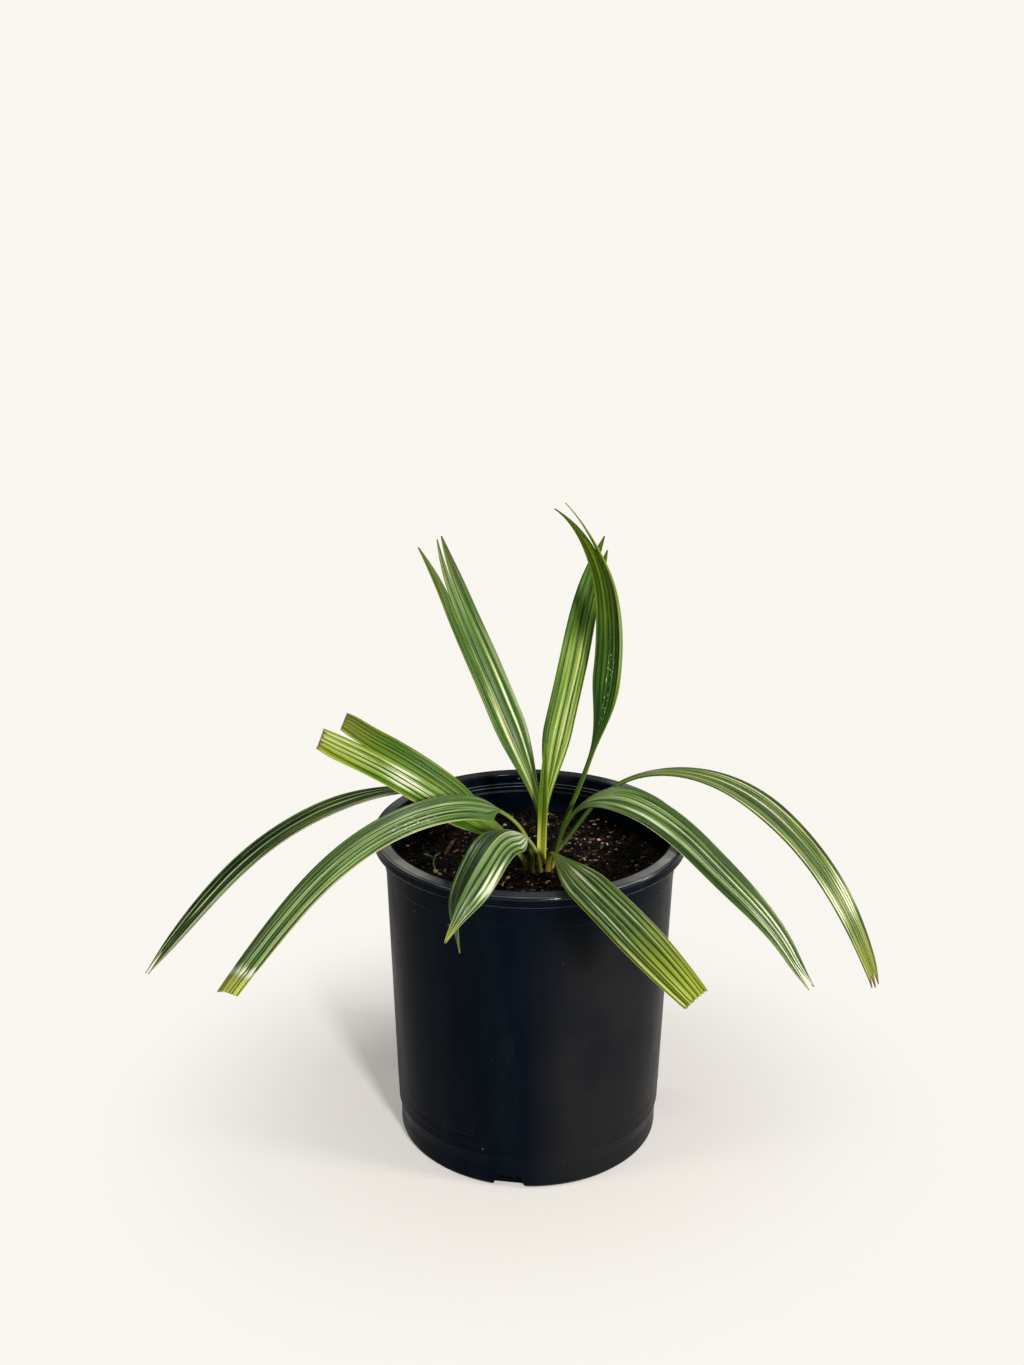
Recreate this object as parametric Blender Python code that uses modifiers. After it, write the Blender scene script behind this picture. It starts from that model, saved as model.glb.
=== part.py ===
"""Potted dwarf palmetto: a young fan palm with pleated strap leaves in a plastic nursery pot.

Units are metres, +Z is up, and the origin is the middle of the pot's foot. The front of the
plant, the side that most leaves are seen from, faces -Y. Angles of headings and of places round
the stem are in degrees, counted from +X towards +Y.
"""
import math
import random

import bmesh
import bpy
import numpy as np

MM = 0.001

# Pot
POT_HEIGHT = 175 * MM
RIM_RADIUS = 82.5 * MM
RIM_EDGE = 1.6 * MM
LIP_INNER_RADIUS = 74.5 * MM
BAND_HEIGHT = 7.4 * MM
BAND_STEP_HEIGHT = 1.7 * MM
BAND_STEP_DEPTH = 1.2 * MM
WALL_TOP_RADIUS = 76.9 * MM
FOOT_RADIUS = 70.8 * MM
FOOT_TUCK = 0.6 * MM
FOOT_TUCK_HEIGHT = 12 * MM
FOOT_CHAMFER = 2.2 * MM
WALL_THICKNESS = 2.0 * MM
FLOOR_THICKNESS = 2.4 * MM
FLOOR_CORNER = 3 * MM
INNER_STEP_DROP = 10.5 * MM
INNER_STEP_DEPTH = 0.6 * MM
SHOULDER_DROP = 20 * MM
FOOT_LINES = (29 * MM, 23.5 * MM, 18 * MM)
LINE_DEPTH = 0.5 * MM
LINE_HALF_HEIGHT = 0.6 * MM
POT_STEPS = 56

# Drain notches in the foot of the pot
NOTCH_COUNT = 3
NOTCH_FIRST_ANGLE = -98.6
NOTCH_WIDTH = 18 * MM
NOTCH_TOP_WIDTH = 11 * MM
NOTCH_HEIGHT = 8 * MM
NOTCH_REACH = 12 * MM
NOTCH_CORNER = 2.5 * MM
NOTCH_CORNER_STEPS = 3
NOTCH_BELOW = 4 * MM

# Soil and the buried stem
FIT_GAP = 0.3 * MM
SOIL_LEVEL = POT_HEIGHT - 22 * MM
SOIL_RINGS = 13
SOIL_STEPS = 48
SOIL_DIP = 0.5 * MM
LUMP_COUNT = 110
LUMP_RADIUS = (3 * MM, 8 * MM)
LUMP_HEIGHT = (0.5 * MM, 2.0 * MM)
LUMP_SEED = 11
STEM_CENTRE = (4.5 * MM, -1.0 * MM)
STEM_RADIUS = 13.5 * MM
STEM_DEPTH = 26 * MM
STEM_CROWN = 0.8 * MM
STEM_SHOULDER = 1.5 * MM
STEM_TOP_SHARE = 0.9
STEM_TOE_HEIGHT = 5 * MM
STEM_TOE_SHARE = 0.7
STEM_STEPS = 32
CUTTER_RISE = 5 * MM

# Leaves
ROOT_DEPTH = 8 * MM
SOCKET_RADIUS = 2.0 * MM
SPEAR_SOCKET_RADIUS = 3.0 * MM
SOCKET_STEPS = 12
BORDER_TOLERANCE = 0.01
PETIOLE_HALF_WIDTH = 1.4 * MM
PETIOLE_THICKNESS = 1.8 * MM
BLADE_THICKNESS = 0.8 * MM
PLEAT_HEIGHT = 0.55 * MM
LEAF_ROWS = 21
TIP_TAPER = 2.2
PATH_STEPS = 120
PITCH_STATIONS = (0.0, 0.15, 0.3, 0.5, 0.75, 1.0)

# root is the leaf's place from the stem's middle. Pitch, heading and roll are read from the root
# to the tip, lengths and half widths are in mm, and widen and narrow are shares of the length. A
# tip is (from, to, share, lean, lift): its edges across the blade, from -1 to 1, its length beyond
# the split as a share of the rest, and how far it leans sideways and lifts, in degrees.
SPEAR = "spear_leaf"
POINTED = 0.12
CUT = 0.96
WHOLE = ((-1, 1, 1.0, 0, 0),)
LEAVES = {
    "leaf_upright_left": dict(
        root=(0.2, 6.3), length=183, pitch=(105, 77, 63, 62, 61, 76), heading=(147, 144),
        roll=(-13, -14, -12), widen=(0.13, 0.44), half_width=10.6, narrow=(0.59, 0.76), fold=10,
        ridges=4, end=POINTED, split=0.8,
        tips=((-1, -0.25, 1.01, 2, -1), (-0.25, 0.25, 0.98, -1, 0), (0.25, 1, 0.94, 10.5, -3))),
    "leaf_upright_right": dict(
        root=(2.2, 10.2), length=174, pitch=(89, 79, 69, 66, 69, 42), heading=(59, 55),
        roll=(-2, -6, -4), widen=(0.15, 0.41), half_width=9.4, narrow=(0.61, 0.52), fold=10,
        ridges=4, end=POINTED, split=0.85,
        tips=((-1, 0, 0.85, 3, -1), (0, 1, 1.12, 2, 4))),
    "leaf_tall_curled": dict(
        root=(8.1, 1.1), length=211, pitch=(83, 67, 71, 83, 106, 156), heading=(17, 28, 31),
        roll=(21, 13, 2), widen=(0.29, 0.51), half_width=10.2, narrow=(0.57, 0.35), fold=11,
        ridges=4, end=POINTED, split=0.8,
        tips=((-1, -0.25, 0.96, -2, -11), (-0.25, 1, 0.98, 1, -5))),
    "leaf_split_left": dict(
        root=(-6.5, -5.0), length=136, pitch=(75, 42, 39, 35, 28, 16), heading=(178, 177),
        roll=(-1, -15, -16), widen=(0.06, 0.42), half_width=19.0, narrow=(0.9, 0.88), fold=-3,
        ridges=6, end=CUT, split=0.75,
        tips=((-1, 0, 0.67, -3, 5), (0, 1, 0.91, -4, 0))),
    "leaf_arching_far_left": dict(
        root=(-6.8, 4.6), length=264, pitch=(61, 31, -6, -28, -47, -51), heading=(165, 181, 186),
        roll=(17, -5, -21), widen=(0.15, 0.48), half_width=10.8, narrow=(0.66, 0.16), fold=8,
        ridges=4, end=POINTED, split=0.9,
        tips=((-1, -0.5, 1.02, 1, 0), (-0.5, 1, 0.97, 1, -1))),
    "leaf_arching_left": dict(
        root=(-3.1, -7.6), length=226, pitch=(94, 48, 10, -16, -35, -35), heading=(206, 211, 231),
        roll=(-22, -4, 23), widen=(0.2, 0.25), half_width=12.5, narrow=(0.81, 0.96), fold=-11,
        ridges=4, end=CUT, split=1.0, tips=WHOLE),
    "leaf_split_front": dict(
        root=(1.1, -8.1), length=159, pitch=(81, 47, 26, -13, -16, -48), heading=(237, 247, 246),
        roll=(-21, -8, 48), widen=(0.18, 0.33), half_width=12.8, narrow=(0.65, 0.67), fold=-30,
        ridges=6, end=POINTED, split=0.6,
        tips=((-1, 0, 0.82, 12.9, -6), (0, 1, 0.78, 2, 0))),
    "leaf_front_right": dict(
        root=(5.0, -6.5), length=196, pitch=(68, 22, 12, 4, -7, -19), heading=(-87, -55),
        roll=(-5, 19, 39), widen=(0.15, 0.5), half_width=9.7, narrow=(0.71, 0.67), fold=-6,
        ridges=4, end=CUT, split=1.0, tips=WHOLE),
    "leaf_arching_right": dict(
        root=(7.6, -3.1), length=202, pitch=(83, 61, -3, -37, -42, -66), heading=(-17, -24),
        roll=(4, 14, 0), widen=(0.15, 0.33), half_width=11.8, narrow=(0.61, 0.37), fold=11,
        ridges=4, end=POINTED, split=0.9,
        tips=((-1, 0, 0.97, 5, 4), (0, 1, 1.01, 7, 7))),
    "leaf_arching_far_right": dict(
        root=(5.5, 6.1), length=258, pitch=(53, 54, 14, -29, -56, -72), heading=(-7, -16),
        roll=(26, 24, 25), widen=(0.24, 0.59), half_width=8.9, narrow=(0.72, 0.42), fold=1,
        ridges=4, end=POINTED, split=0.95,
        tips=((-1, -0.5, 0.90, -3, -2), (-0.5, 0.25, 0.98, -2, 0), (0.25, 1, 0.96, 0, 0))),
    SPEAR: dict(
        root=(1.4, -0.2), length=70, pitch=(89, 88), heading=(0, 0),
        roll=(90, 90), widen=(0.0, 0.08), half_width=3.2, narrow=(0.45, 0.25), fold=40,
        ridges=2, end=CUT, split=1.0, tips=WHOLE),
}

# Materials: linear colour and roughness
LEAF_GREEN = ((0.060, 0.130, 0.030), 0.45)
SPEAR_GREEN = ((0.160, 0.230, 0.030), 0.45)
POT_PLASTIC = ((0.010, 0.012, 0.017), 0.32)
POTTING_SOIL = ((0.022, 0.014, 0.010), 0.9)
STEM_FIBRE = ((0.100, 0.055, 0.025), 0.85)


def clear_scene():
    for obj in list(bpy.data.objects):
        bpy.data.objects.remove(obj, do_unlink=True)


def make_collection(name):
    collection = bpy.data.collections.new(name)
    bpy.context.scene.collection.children.link(collection)
    return collection


def make_material(name, finish):
    colour, roughness = finish
    material = bpy.data.materials.new(name)
    material.use_nodes = True
    shader = material.node_tree.nodes["Principled BSDF"]
    shader.inputs["Base Color"].default_value = (*colour, 1.0)
    shader.inputs["Roughness"].default_value = roughness
    shader.inputs["Metallic"].default_value = 0.0
    return material


def add_object(name, bm, collection, material=None):
    """A new object from a bmesh; without a material it is a cutter."""
    mesh = bpy.data.meshes.new(name)
    bm.to_mesh(mesh)
    bm.free()
    obj = bpy.data.objects.new(name, mesh)
    collection.objects.link(obj)
    if material:
        mesh.materials.append(material)
    else:
        obj.hide_render = True
        obj.display_type = "WIRE"
    return obj


def profile_mesh(points):
    """An open chain of edges in the XZ plane, for a Screw modifier."""
    bm = bmesh.new()
    verts = [bm.verts.new((radius, 0.0, height)) for radius, height in points]
    for start, end in zip(verts, verts[1:]):
        bm.edges.new((start, end))
    return bm


def turn(obj, steps):
    screw = obj.modifiers.new("turn", "SCREW")
    screw.axis = "Z"
    screw.angle = math.tau
    screw.steps = steps
    screw.render_steps = steps
    screw.use_merge_vertices = True
    screw.merge_threshold = 0.00001
    screw.use_smooth_shade = True


def apply_modifiers(obj):
    depsgraph = bpy.context.evaluated_depsgraph_get()
    mesh = bpy.data.meshes.new_from_object(obj.evaluated_get(depsgraph))
    obj.modifiers.clear()
    obj.data = mesh


def cut(obj, name, cutters):
    boolean = obj.modifiers.new(name, "BOOLEAN")
    boolean.operation = "DIFFERENCE"
    boolean.solver = "EXACT"
    boolean.operand_type = "COLLECTION"
    boolean.collection = cutters


def cylinder_cutter(name, collection, centre, radius, bottom, top, segments):
    bm = bmesh.new()
    bmesh.ops.create_cone(bm, cap_ends=True, segments=segments, radius1=radius, radius2=radius,
                          depth=top - bottom)
    cutter = add_object(name, bm, collection)
    cutter.location = (centre[0], centre[1], (top + bottom) / 2)


def wall_radius(height):
    """Outer radius of the tapered wall at a height above the foot."""
    return FOOT_RADIUS + (WALL_TOP_RADIUS - FOOT_RADIUS) * height / (POT_HEIGHT - BAND_HEIGHT)


def inner_radius(height):
    """Inner radius of the wall, which widens evenly from the floor up to the step below the lip."""
    bottom = FOOT_RADIUS - WALL_THICKNESS
    top = LIP_INNER_RADIUS - INNER_STEP_DEPTH
    return bottom + (top - bottom) * height / (POT_HEIGHT - INNER_STEP_DROP)


def pot_profile():
    """Half section of the pot, from the middle of its floor over the rim to the middle of its foot."""
    inner_step = POT_HEIGHT - INNER_STEP_DROP
    corner = FLOOR_THICKNESS + FLOOR_CORNER
    points = [(0.0, FLOOR_THICKNESS),
              (inner_radius(corner) - FLOOR_CORNER, FLOOR_THICKNESS),
              (inner_radius(corner), corner),
              (inner_radius(inner_step), inner_step),
              (LIP_INNER_RADIUS, inner_step + INNER_STEP_DEPTH),
              (LIP_INNER_RADIUS, POT_HEIGHT)]
    for degrees in (90, 60, 30, 0):
        angle = math.radians(degrees)
        points.append((RIM_RADIUS - RIM_EDGE * (1 - math.cos(angle)),
                       POT_HEIGHT - RIM_EDGE * (1 - math.sin(angle))))
    band_bottom = POT_HEIGHT - BAND_HEIGHT
    points += [(RIM_RADIUS, band_bottom + BAND_STEP_HEIGHT),
               (RIM_RADIUS - BAND_STEP_DEPTH, band_bottom + BAND_STEP_HEIGHT),
               (RIM_RADIUS - BAND_STEP_DEPTH, band_bottom),
               (wall_radius(band_bottom), band_bottom)]
    shoulder = POT_HEIGHT - SHOULDER_DROP
    for height in (shoulder, *FOOT_LINES):
        points += [(wall_radius(height), height + LINE_HALF_HEIGHT),
                   (wall_radius(height) - LINE_DEPTH, height)]
    foot = FOOT_RADIUS - FOOT_TUCK
    points += [(foot, FOOT_TUCK_HEIGHT), (foot, FOOT_CHAMFER), (foot - FOOT_CHAMFER, 0.0), (0.0, 0.0)]
    return points


def notch_cutter(number, collection):
    """A rounded trapezoid that opens the foot of the wall at one drain hole."""
    flare = (NOTCH_WIDTH - NOTCH_TOP_WIDTH) * NOTCH_BELOW / NOTCH_HEIGHT
    bm = bmesh.new()
    bmesh.ops.create_cube(bm, size=1.0)
    for vert in bm.verts:
        upper = vert.co.z > 0
        width = NOTCH_TOP_WIDTH if upper else NOTCH_WIDTH + flare
        vert.co.x = FOOT_RADIUS + math.copysign(NOTCH_REACH / 2, vert.co.x)
        vert.co.y = math.copysign(width / 2, vert.co.y)
        vert.co.z = NOTCH_HEIGHT if upper else -NOTCH_BELOW
    corners = [edge for edge in bm.edges
               if all(vert.co.z > 0 for vert in edge.verts)
               and edge.verts[0].co.y * edge.verts[1].co.y > 0]
    bmesh.ops.bevel(bm, geom=corners, offset=NOTCH_CORNER, segments=NOTCH_CORNER_STEPS,
                     profile=0.5, affect="EDGES")
    cutter = add_object(f"cut_notch_{number}", bm, collection)
    cutter.rotation_euler.z = math.radians(NOTCH_FIRST_ANGLE + number * 360 / NOTCH_COUNT)


def build_pot(collection):
    material = make_material("pot_plastic", POT_PLASTIC)
    pot = add_object("pot", profile_mesh(pot_profile()), collection, material)
    turn(pot, POT_STEPS)
    cutters = make_collection("cutters_pot")
    for number in range(NOTCH_COUNT):
        notch_cutter(number, cutters)
    cut(pot, "notches", cutters)
    return pot


def soil_lumps(reach):
    """Places and sizes of the crumbs that stand out of the soil: (x, y, radius, height)."""
    draw = random.Random(LUMP_SEED)
    lumps = []
    for _ in range(LUMP_COUNT):
        distance = reach * math.sqrt(draw.random())
        angle = draw.uniform(0, math.tau)
        lumps.append((distance * math.cos(angle), distance * math.sin(angle),
                      draw.uniform(*LUMP_RADIUS), draw.uniform(*LUMP_HEIGHT)))
    return lumps


def relief(lumps, x, y):
    """Height of the highest lump over this place."""
    height = 0.0
    for lump_x, lump_y, radius, rise in lumps:
        nearness = 1.0 - (math.hypot(x - lump_x, y - lump_y) / radius) ** 2
        height = max(height, rise * nearness)
    return height


def build_soil(collection):
    reach = inner_radius(SOIL_LEVEL) - FIT_GAP
    bottom = FLOOR_THICKNESS + FIT_GAP
    corner = bottom + FLOOR_CORNER
    points = [(reach * ring / SOIL_RINGS, SOIL_LEVEL) for ring in range(SOIL_RINGS + 1)]
    points += [(inner_radius(corner) - FIT_GAP, corner),
               (inner_radius(corner) - FIT_GAP - FLOOR_CORNER, bottom),
               (0.0, bottom)]
    material = make_material("potting_soil", POTTING_SOIL)
    soil = add_object("soil", profile_mesh(points), collection, material)
    turn(soil, SOIL_STEPS)
    apply_modifiers(soil)
    lumps = soil_lumps(reach)
    edge = reach * (1 - 0.5 / SOIL_RINGS)
    for vert in soil.data.vertices:
        if vert.co.z > corner + MM and math.hypot(vert.co.x, vert.co.y) < edge:
            vert.co.z += relief(lumps, vert.co.x, vert.co.y) - SOIL_DIP
    cutters = make_collection("cutters_soil")
    cylinder_cutter("cut_stem_hole", cutters, STEM_CENTRE, STEM_RADIUS + FIT_GAP,
                    SOIL_LEVEL - STEM_DEPTH - FIT_GAP, SOIL_LEVEL + CUTTER_RISE, STEM_STEPS)
    cut(soil, "stem_hole", cutters)
    return soil


def root_point(leaf):
    """Where a leaf comes out of the stem."""
    return STEM_CENTRE[0] + leaf["root"][0] * MM, STEM_CENTRE[1] + leaf["root"][1] * MM


def build_stem_base(collection):
    bottom = -STEM_DEPTH
    points = [(0.0, STEM_CROWN),
              (STEM_RADIUS * STEM_TOP_SHARE, STEM_CROWN / 2),
              (STEM_RADIUS, -STEM_SHOULDER),
              (STEM_RADIUS, bottom + STEM_TOE_HEIGHT),
              (STEM_RADIUS * STEM_TOE_SHARE, bottom),
              (0.0, bottom)]
    material = make_material("stem_fibre", STEM_FIBRE)
    stem = add_object("stem_base", profile_mesh(points), collection, material)
    stem.location = (*STEM_CENTRE, SOIL_LEVEL)
    turn(stem, STEM_STEPS)
    cutters = make_collection("cutters_stem")
    for name, leaf in LEAVES.items():
        radius = SPEAR_SOCKET_RADIUS if name == SPEAR else SOCKET_RADIUS
        cylinder_cutter("cut_socket_" + name, cutters, root_point(leaf), radius,
                        SOIL_LEVEL - ROOT_DEPTH - FIT_GAP, SOIL_LEVEL + CUTTER_RISE, SOCKET_STEPS)
    cut(stem, "sockets", cutters)
    return stem


def ease(x):
    x = np.clip(x, 0.0, 1.0)
    return x * x * (3.0 - 2.0 * x)


def along(values, t):
    """A smooth curve through values at even stations, or at PITCH_STATIONS for six of them."""
    values = np.array(values, dtype=float)
    stations = np.linspace(0.0, 1.0, len(values))
    if len(values) == len(PITCH_STATIONS):
        stations = np.array(PITCH_STATIONS)
    slopes = np.gradient(values, stations)
    index = np.clip(np.searchsorted(stations, t, side="right") - 1, 0, len(stations) - 2)
    span = stations[index + 1] - stations[index]
    u = (t - stations[index]) / span
    return ((2 * u**3 - 3 * u**2 + 1) * values[index] + (u**3 - 2 * u**2 + u) * span * slopes[index]
            + (3 * u**2 - 2 * u**3) * values[index + 1] + (u**3 - u**2) * span * slopes[index + 1])


def leaf_frames(leaf, t):
    """Unit vectors along the leaf, across it and out of its upper face, at each t."""
    pitch = np.radians(along(leaf["pitch"], t))
    heading = np.radians(along(leaf["heading"], t))
    roll = np.radians(along(leaf["roll"], t))[:, None]
    forward = np.stack([np.cos(pitch) * np.cos(heading), np.cos(pitch) * np.sin(heading), np.sin(pitch)], 1)
    side = np.stack([-np.sin(heading), np.cos(heading), np.zeros_like(heading)], 1)
    normal = np.cross(forward, side)
    across = np.cos(roll) * side + np.sin(roll) * normal
    return forward, across, np.cross(forward, across)


def leaf_path(leaf, t):
    """Points down the middle of a leaf, from its root, at each t; past 1 it runs straight on."""
    middles = (np.arange(PATH_STEPS) + 0.5) / PATH_STEPS
    step = leaf["length"] * MM / PATH_STEPS
    points = np.vstack([np.zeros(3), np.cumsum(leaf_frames(leaf, middles)[0] * step, axis=0)])
    stations = np.linspace(0.0, 1.0, PATH_STEPS + 1)
    inside = np.stack([np.interp(t, stations, points[:, axis]) for axis in range(3)], 1)
    end = leaf_frames(leaf, np.ones(1))[0]
    return inside + end * (np.maximum(t - 1.0, 0.0) * leaf["length"] * MM)[:, None]


def blade_half_width(leaf, t):
    """Half width at each t, and how far the petiole has opened into the blade, from 0 to 1."""
    widen_from, widen_to = leaf["widen"]
    narrow_from, end_share = leaf["narrow"]
    opened = ease((t - widen_from) / (widen_to - widen_from))
    width = PETIOLE_HALF_WIDTH + (leaf["half_width"] * MM - PETIOLE_HALF_WIDTH) * opened
    past = np.clip((t - narrow_from) / (1.0 - narrow_from), 0.0, 1.0)
    return width * (1.0 - (1.0 - end_share) * past**2), opened


def tip_values(leaf, u):
    """The row of the tips table that each place across the blade belongs to."""
    borders = [tip[1] for tip in leaf["tips"][:-1]]
    return np.array(leaf["tips"], dtype=float)[np.searchsorted(borders, u)]


def leaf_points(leaf, t, u, face_u):
    """Places of the blade at t along and u across it; face_u says which tip each belongs to."""
    low, high, share, lean, lift = tip_values(leaf, face_u).T
    split = leaf["split"]
    beyond = np.maximum(t - split, 0.0)
    past = beyond / (1.0 - split) if split < 1.0 else beyond
    reach = t - beyond + beyond * share
    _, across, out = leaf_frames(leaf, np.minimum(reach, 1.0))
    width, opened = blade_half_width(leaf, t)
    middle = (low + high) / 2
    place = middle + (u - middle) * (1.0 - (1.0 - leaf["end"]) * past**TIP_TAPER)
    fold = math.radians(leaf["fold"]) * opened
    pleat = -np.cos(leaf["ridges"] * math.pi * u) * math.copysign(PLEAT_HEIGHT, leaf["fold"])
    drift = beyond * leaf["length"] * MM * past
    sideways = place * width * np.cos(fold) + drift * np.tan(np.radians(lean))
    outward = (np.abs(place) * width * np.sin(fold) + pleat * opened * (1 - past / 2)
               + drift * np.tan(np.radians(lift)))
    return leaf_path(leaf, reach) + across * sideways[:, None] + out * outward[:, None]


def root_points(leaf, u):
    """Places across the foot of the petiole, straight down in its socket."""
    across = leaf_frames(leaf, np.zeros(1))[1][0] * (1, 1, 0)
    across /= np.linalg.norm(across)
    return across * u[:, None] * PETIOLE_HALF_WIDTH - np.array([0.0, 0.0, ROOT_DEPTH + STEM_CROWN])


def split_tips(bm, leaf, row_of):
    """Part the blade between its tips, beyond the split."""
    first = round(leaf["split"] * (LEAF_ROWS - 1))
    for border in [tip[1] for tip in leaf["tips"][:-1]]:
        edges = [edge for edge in bm.edges
                 if all(abs(vert.co.x - border) < BORDER_TOLERANCE for vert in edge.verts)
                 and all(row_of(vert) >= first for vert in edge.verts)]
        bmesh.ops.split_edges(bm, edges=edges)


def build_leaf(name, leaf, collection):
    """A pleated blade on its petiole: a grid laid along the leaf's path, then made solid."""
    columns = leaf["ridges"] * 2
    bm = bmesh.new()
    bmesh.ops.create_grid(bm, x_segments=columns, y_segments=LEAF_ROWS, size=1.0)

    def row_of(vert):
        return round((vert.co.y + 1) / 2 * LEAF_ROWS) - 1

    split_tips(bm, leaf, row_of)
    bm.verts.ensure_lookup_table()
    rows = np.array([row_of(vert) for vert in bm.verts])
    u = np.array([vert.co.x for vert in bm.verts])
    face_u = np.array([sum(face.calc_center_median().x for face in vert.link_faces) / len(vert.link_faces)
                       for vert in bm.verts])
    t = np.maximum(rows, 0) / (LEAF_ROWS - 1)
    points = np.where((rows < 0)[:, None], root_points(leaf, u), leaf_points(leaf, t, u, face_u))
    for vert, point in zip(bm.verts, points):
        vert.co = point
    bmesh.ops.triangulate(bm, faces=bm.faces[:], quad_method="BEAUTY")
    green = SPEAR_GREEN if name == SPEAR else LEAF_GREEN
    obj = add_object(name, bm, collection, make_material(name + "_green", green))
    obj.location = (*root_point(leaf), SOIL_LEVEL + STEM_CROWN)

    widen_from, widen_to = leaf["widen"]
    thinned = ease((t - widen_from) / (widen_to - widen_from) * 2)
    share = 1.0 - (1.0 - BLADE_THICKNESS / PETIOLE_THICKNESS) * thinned
    group = obj.vertex_groups.new(name="thickness")
    for index, weight in enumerate(share):
        group.add([index], float(weight), "REPLACE")
    solidify = obj.modifiers.new("thickness", "SOLIDIFY")
    solidify.thickness = PETIOLE_THICKNESS
    solidify.offset = 0.0
    solidify.vertex_group = group.name
    return obj


def build():
    clear_scene()
    collection = make_collection("potted_palmetto")
    pieces = [build_pot(collection), build_soil(collection), build_stem_base(collection)]
    pieces += [build_leaf(name, leaf, collection) for name, leaf in LEAVES.items()]
    plant = bpy.data.objects.new("plant", None)
    collection.objects.link(plant)
    for piece in pieces:
        piece.parent = plant


build()
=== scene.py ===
"""Potted dwarf palmetto, dressed: pleated striped leaves, crumbly soil and a satin nursery pot.

Units are metres, +Z is up and the origin is the middle of the pot's foot. The leaves follow the
same paths and widths as the solids that they stand for, with finer pleats and thinner blades.
"""

import random
from math import atan2, copysign, cos, hypot, radians, sin, sqrt, tau

import bmesh
import bpy
import numpy as np
from mathutils import Euler, Matrix, Vector, noise


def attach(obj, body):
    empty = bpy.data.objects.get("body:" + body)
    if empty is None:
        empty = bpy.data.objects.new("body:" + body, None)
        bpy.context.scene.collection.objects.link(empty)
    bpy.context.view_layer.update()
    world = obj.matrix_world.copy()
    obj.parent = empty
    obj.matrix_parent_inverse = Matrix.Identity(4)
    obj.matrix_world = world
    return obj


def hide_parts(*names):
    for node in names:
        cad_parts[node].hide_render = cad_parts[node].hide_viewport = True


MM = 0.001

# Pot
POT_HEIGHT = 175 * MM
RIM_RADIUS = 82.5 * MM
RIM_ROUNDING = 1.7 * MM
LIP_INNER_RADIUS = 74.5 * MM
LIP_ROUNDING = 0.7 * MM
BAND_HEIGHT = 7.4 * MM
BAND_STEP_HEIGHT = 1.7 * MM
BAND_STEP_DEPTH = 1.2 * MM
BAND_ROUNDING = 0.3 * MM
BAND_EDGE = POT_HEIGHT - BAND_HEIGHT + BAND_STEP_HEIGHT
WALL_TOP_RADIUS = 76.9 * MM
WALL_ROUNDING = 0.8 * MM
FOOT_RADIUS = 70.8 * MM
FOOT_TUCK = 0.6 * MM
FOOT_TUCK_HEIGHT = 12 * MM
FOOT_CHAMFER = 2.2 * MM
FOOT_ROUNDING = 1.0 * MM
WALL_THICKNESS = 2.0 * MM
FLOOR_THICKNESS = 2.4 * MM
FLOOR_CORNER = 3 * MM
INNER_STEP_DROP = 10.5 * MM
INNER_STEP_DEPTH = 0.6 * MM
INNER_STEP_ROUNDING = 0.2 * MM
SHOULDER_DROP = 20 * MM
FOOT_LINES = (29 * MM, 23.5 * MM, 18 * MM)
LINE_DEPTH = 0.35 * MM
LINE_HALF_HEIGHT = 0.55 * MM
FINE_ROUNDING = 0.15 * MM
POT_STEPS = 240
FILLET_STEPS = 5
MOST_ROUNDING = 0.45
MERGE_DISTANCE = 0.01 * MM
SHARP_ANGLE = 38

# Drain notches
NOTCH_COUNT = 3
NOTCH_FIRST_ANGLE = -98.6
NOTCH_WIDTH = 18 * MM
NOTCH_TOP_WIDTH = 11 * MM
NOTCH_HEIGHT = 8 * MM
NOTCH_REACH = 12 * MM
NOTCH_CORNER = 2.5 * MM
NOTCH_CORNER_STEPS = 6
NOTCH_BELOW = 4 * MM

# Soil. SOIL_NOISE goes from coarse to fine, each (height, layer, waves in a metre).
SOIL_LEVEL = POT_HEIGHT - 22 * MM
SOIL_GAP = 0.3 * MM
SOIL_RINGS = 80
SOIL_STEPS = 220
SOIL_TAPER = 4 * MM
LUMP_COUNT = 110
LUMP_RADIUS = (3 * MM, 8 * MM)
LUMP_HEIGHT = (0.5 * MM, 2.0 * MM)
LUMP_SEED = 11
SOIL_DIP = 0.5 * MM
SOIL_NOISE = ((1.1 * MM, 0.0, 140), (0.8 * MM, 0.1, 420), (0.35 * MM, 0.2, 1100))
MOUND_HEIGHT = 1.5 * MM
MOUND_REACH = 1.6

# Stem
STEM_CENTRE = (4.5 * MM, -1.0 * MM)
STEM_RADIUS = 13.5 * MM
STEM_CROWN = 0.8 * MM
STEM_GRID = 64
STEM_DOME = 1.2 * MM
STEM_EDGE = 0.2
STEM_EDGE_DROP = 4.0 * MM
STEM_DEPTH = 6 * MM
STEM_ROUGHNESS = 0.9 * MM
FIBRE_COUNT = 40
FIBRE_HEIGHT = 0.5 * MM

# Leaves
ROOT_DEPTH = 8 * MM
PETIOLE_HALF_WIDTH = 1.4 * MM
PETIOLE_THICKNESS = 1.9 * MM
BLADE_THICKNESS = 0.5 * MM
STALK_ROUNDNESS = 0.88
THINNING = 1.5
MARGIN = 0.06
MARGIN_SHARE = 0.35
PLEAT_HEIGHT = 0.5 * MM
PLEAT_SHARPNESS = 2.2
OUTER_PLEAT = 0.45
LEAF_ROWS = 160
LEAF_COLUMNS = 48
TIP_TAPER = 2.2
RAGGED_PART = 0.1
PATH_STEPS = 120
PITCH_STATIONS = (0.0, 0.15, 0.3, 0.5, 0.75, 1.0)
BORDER_TOLERANCE = 0.01

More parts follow.
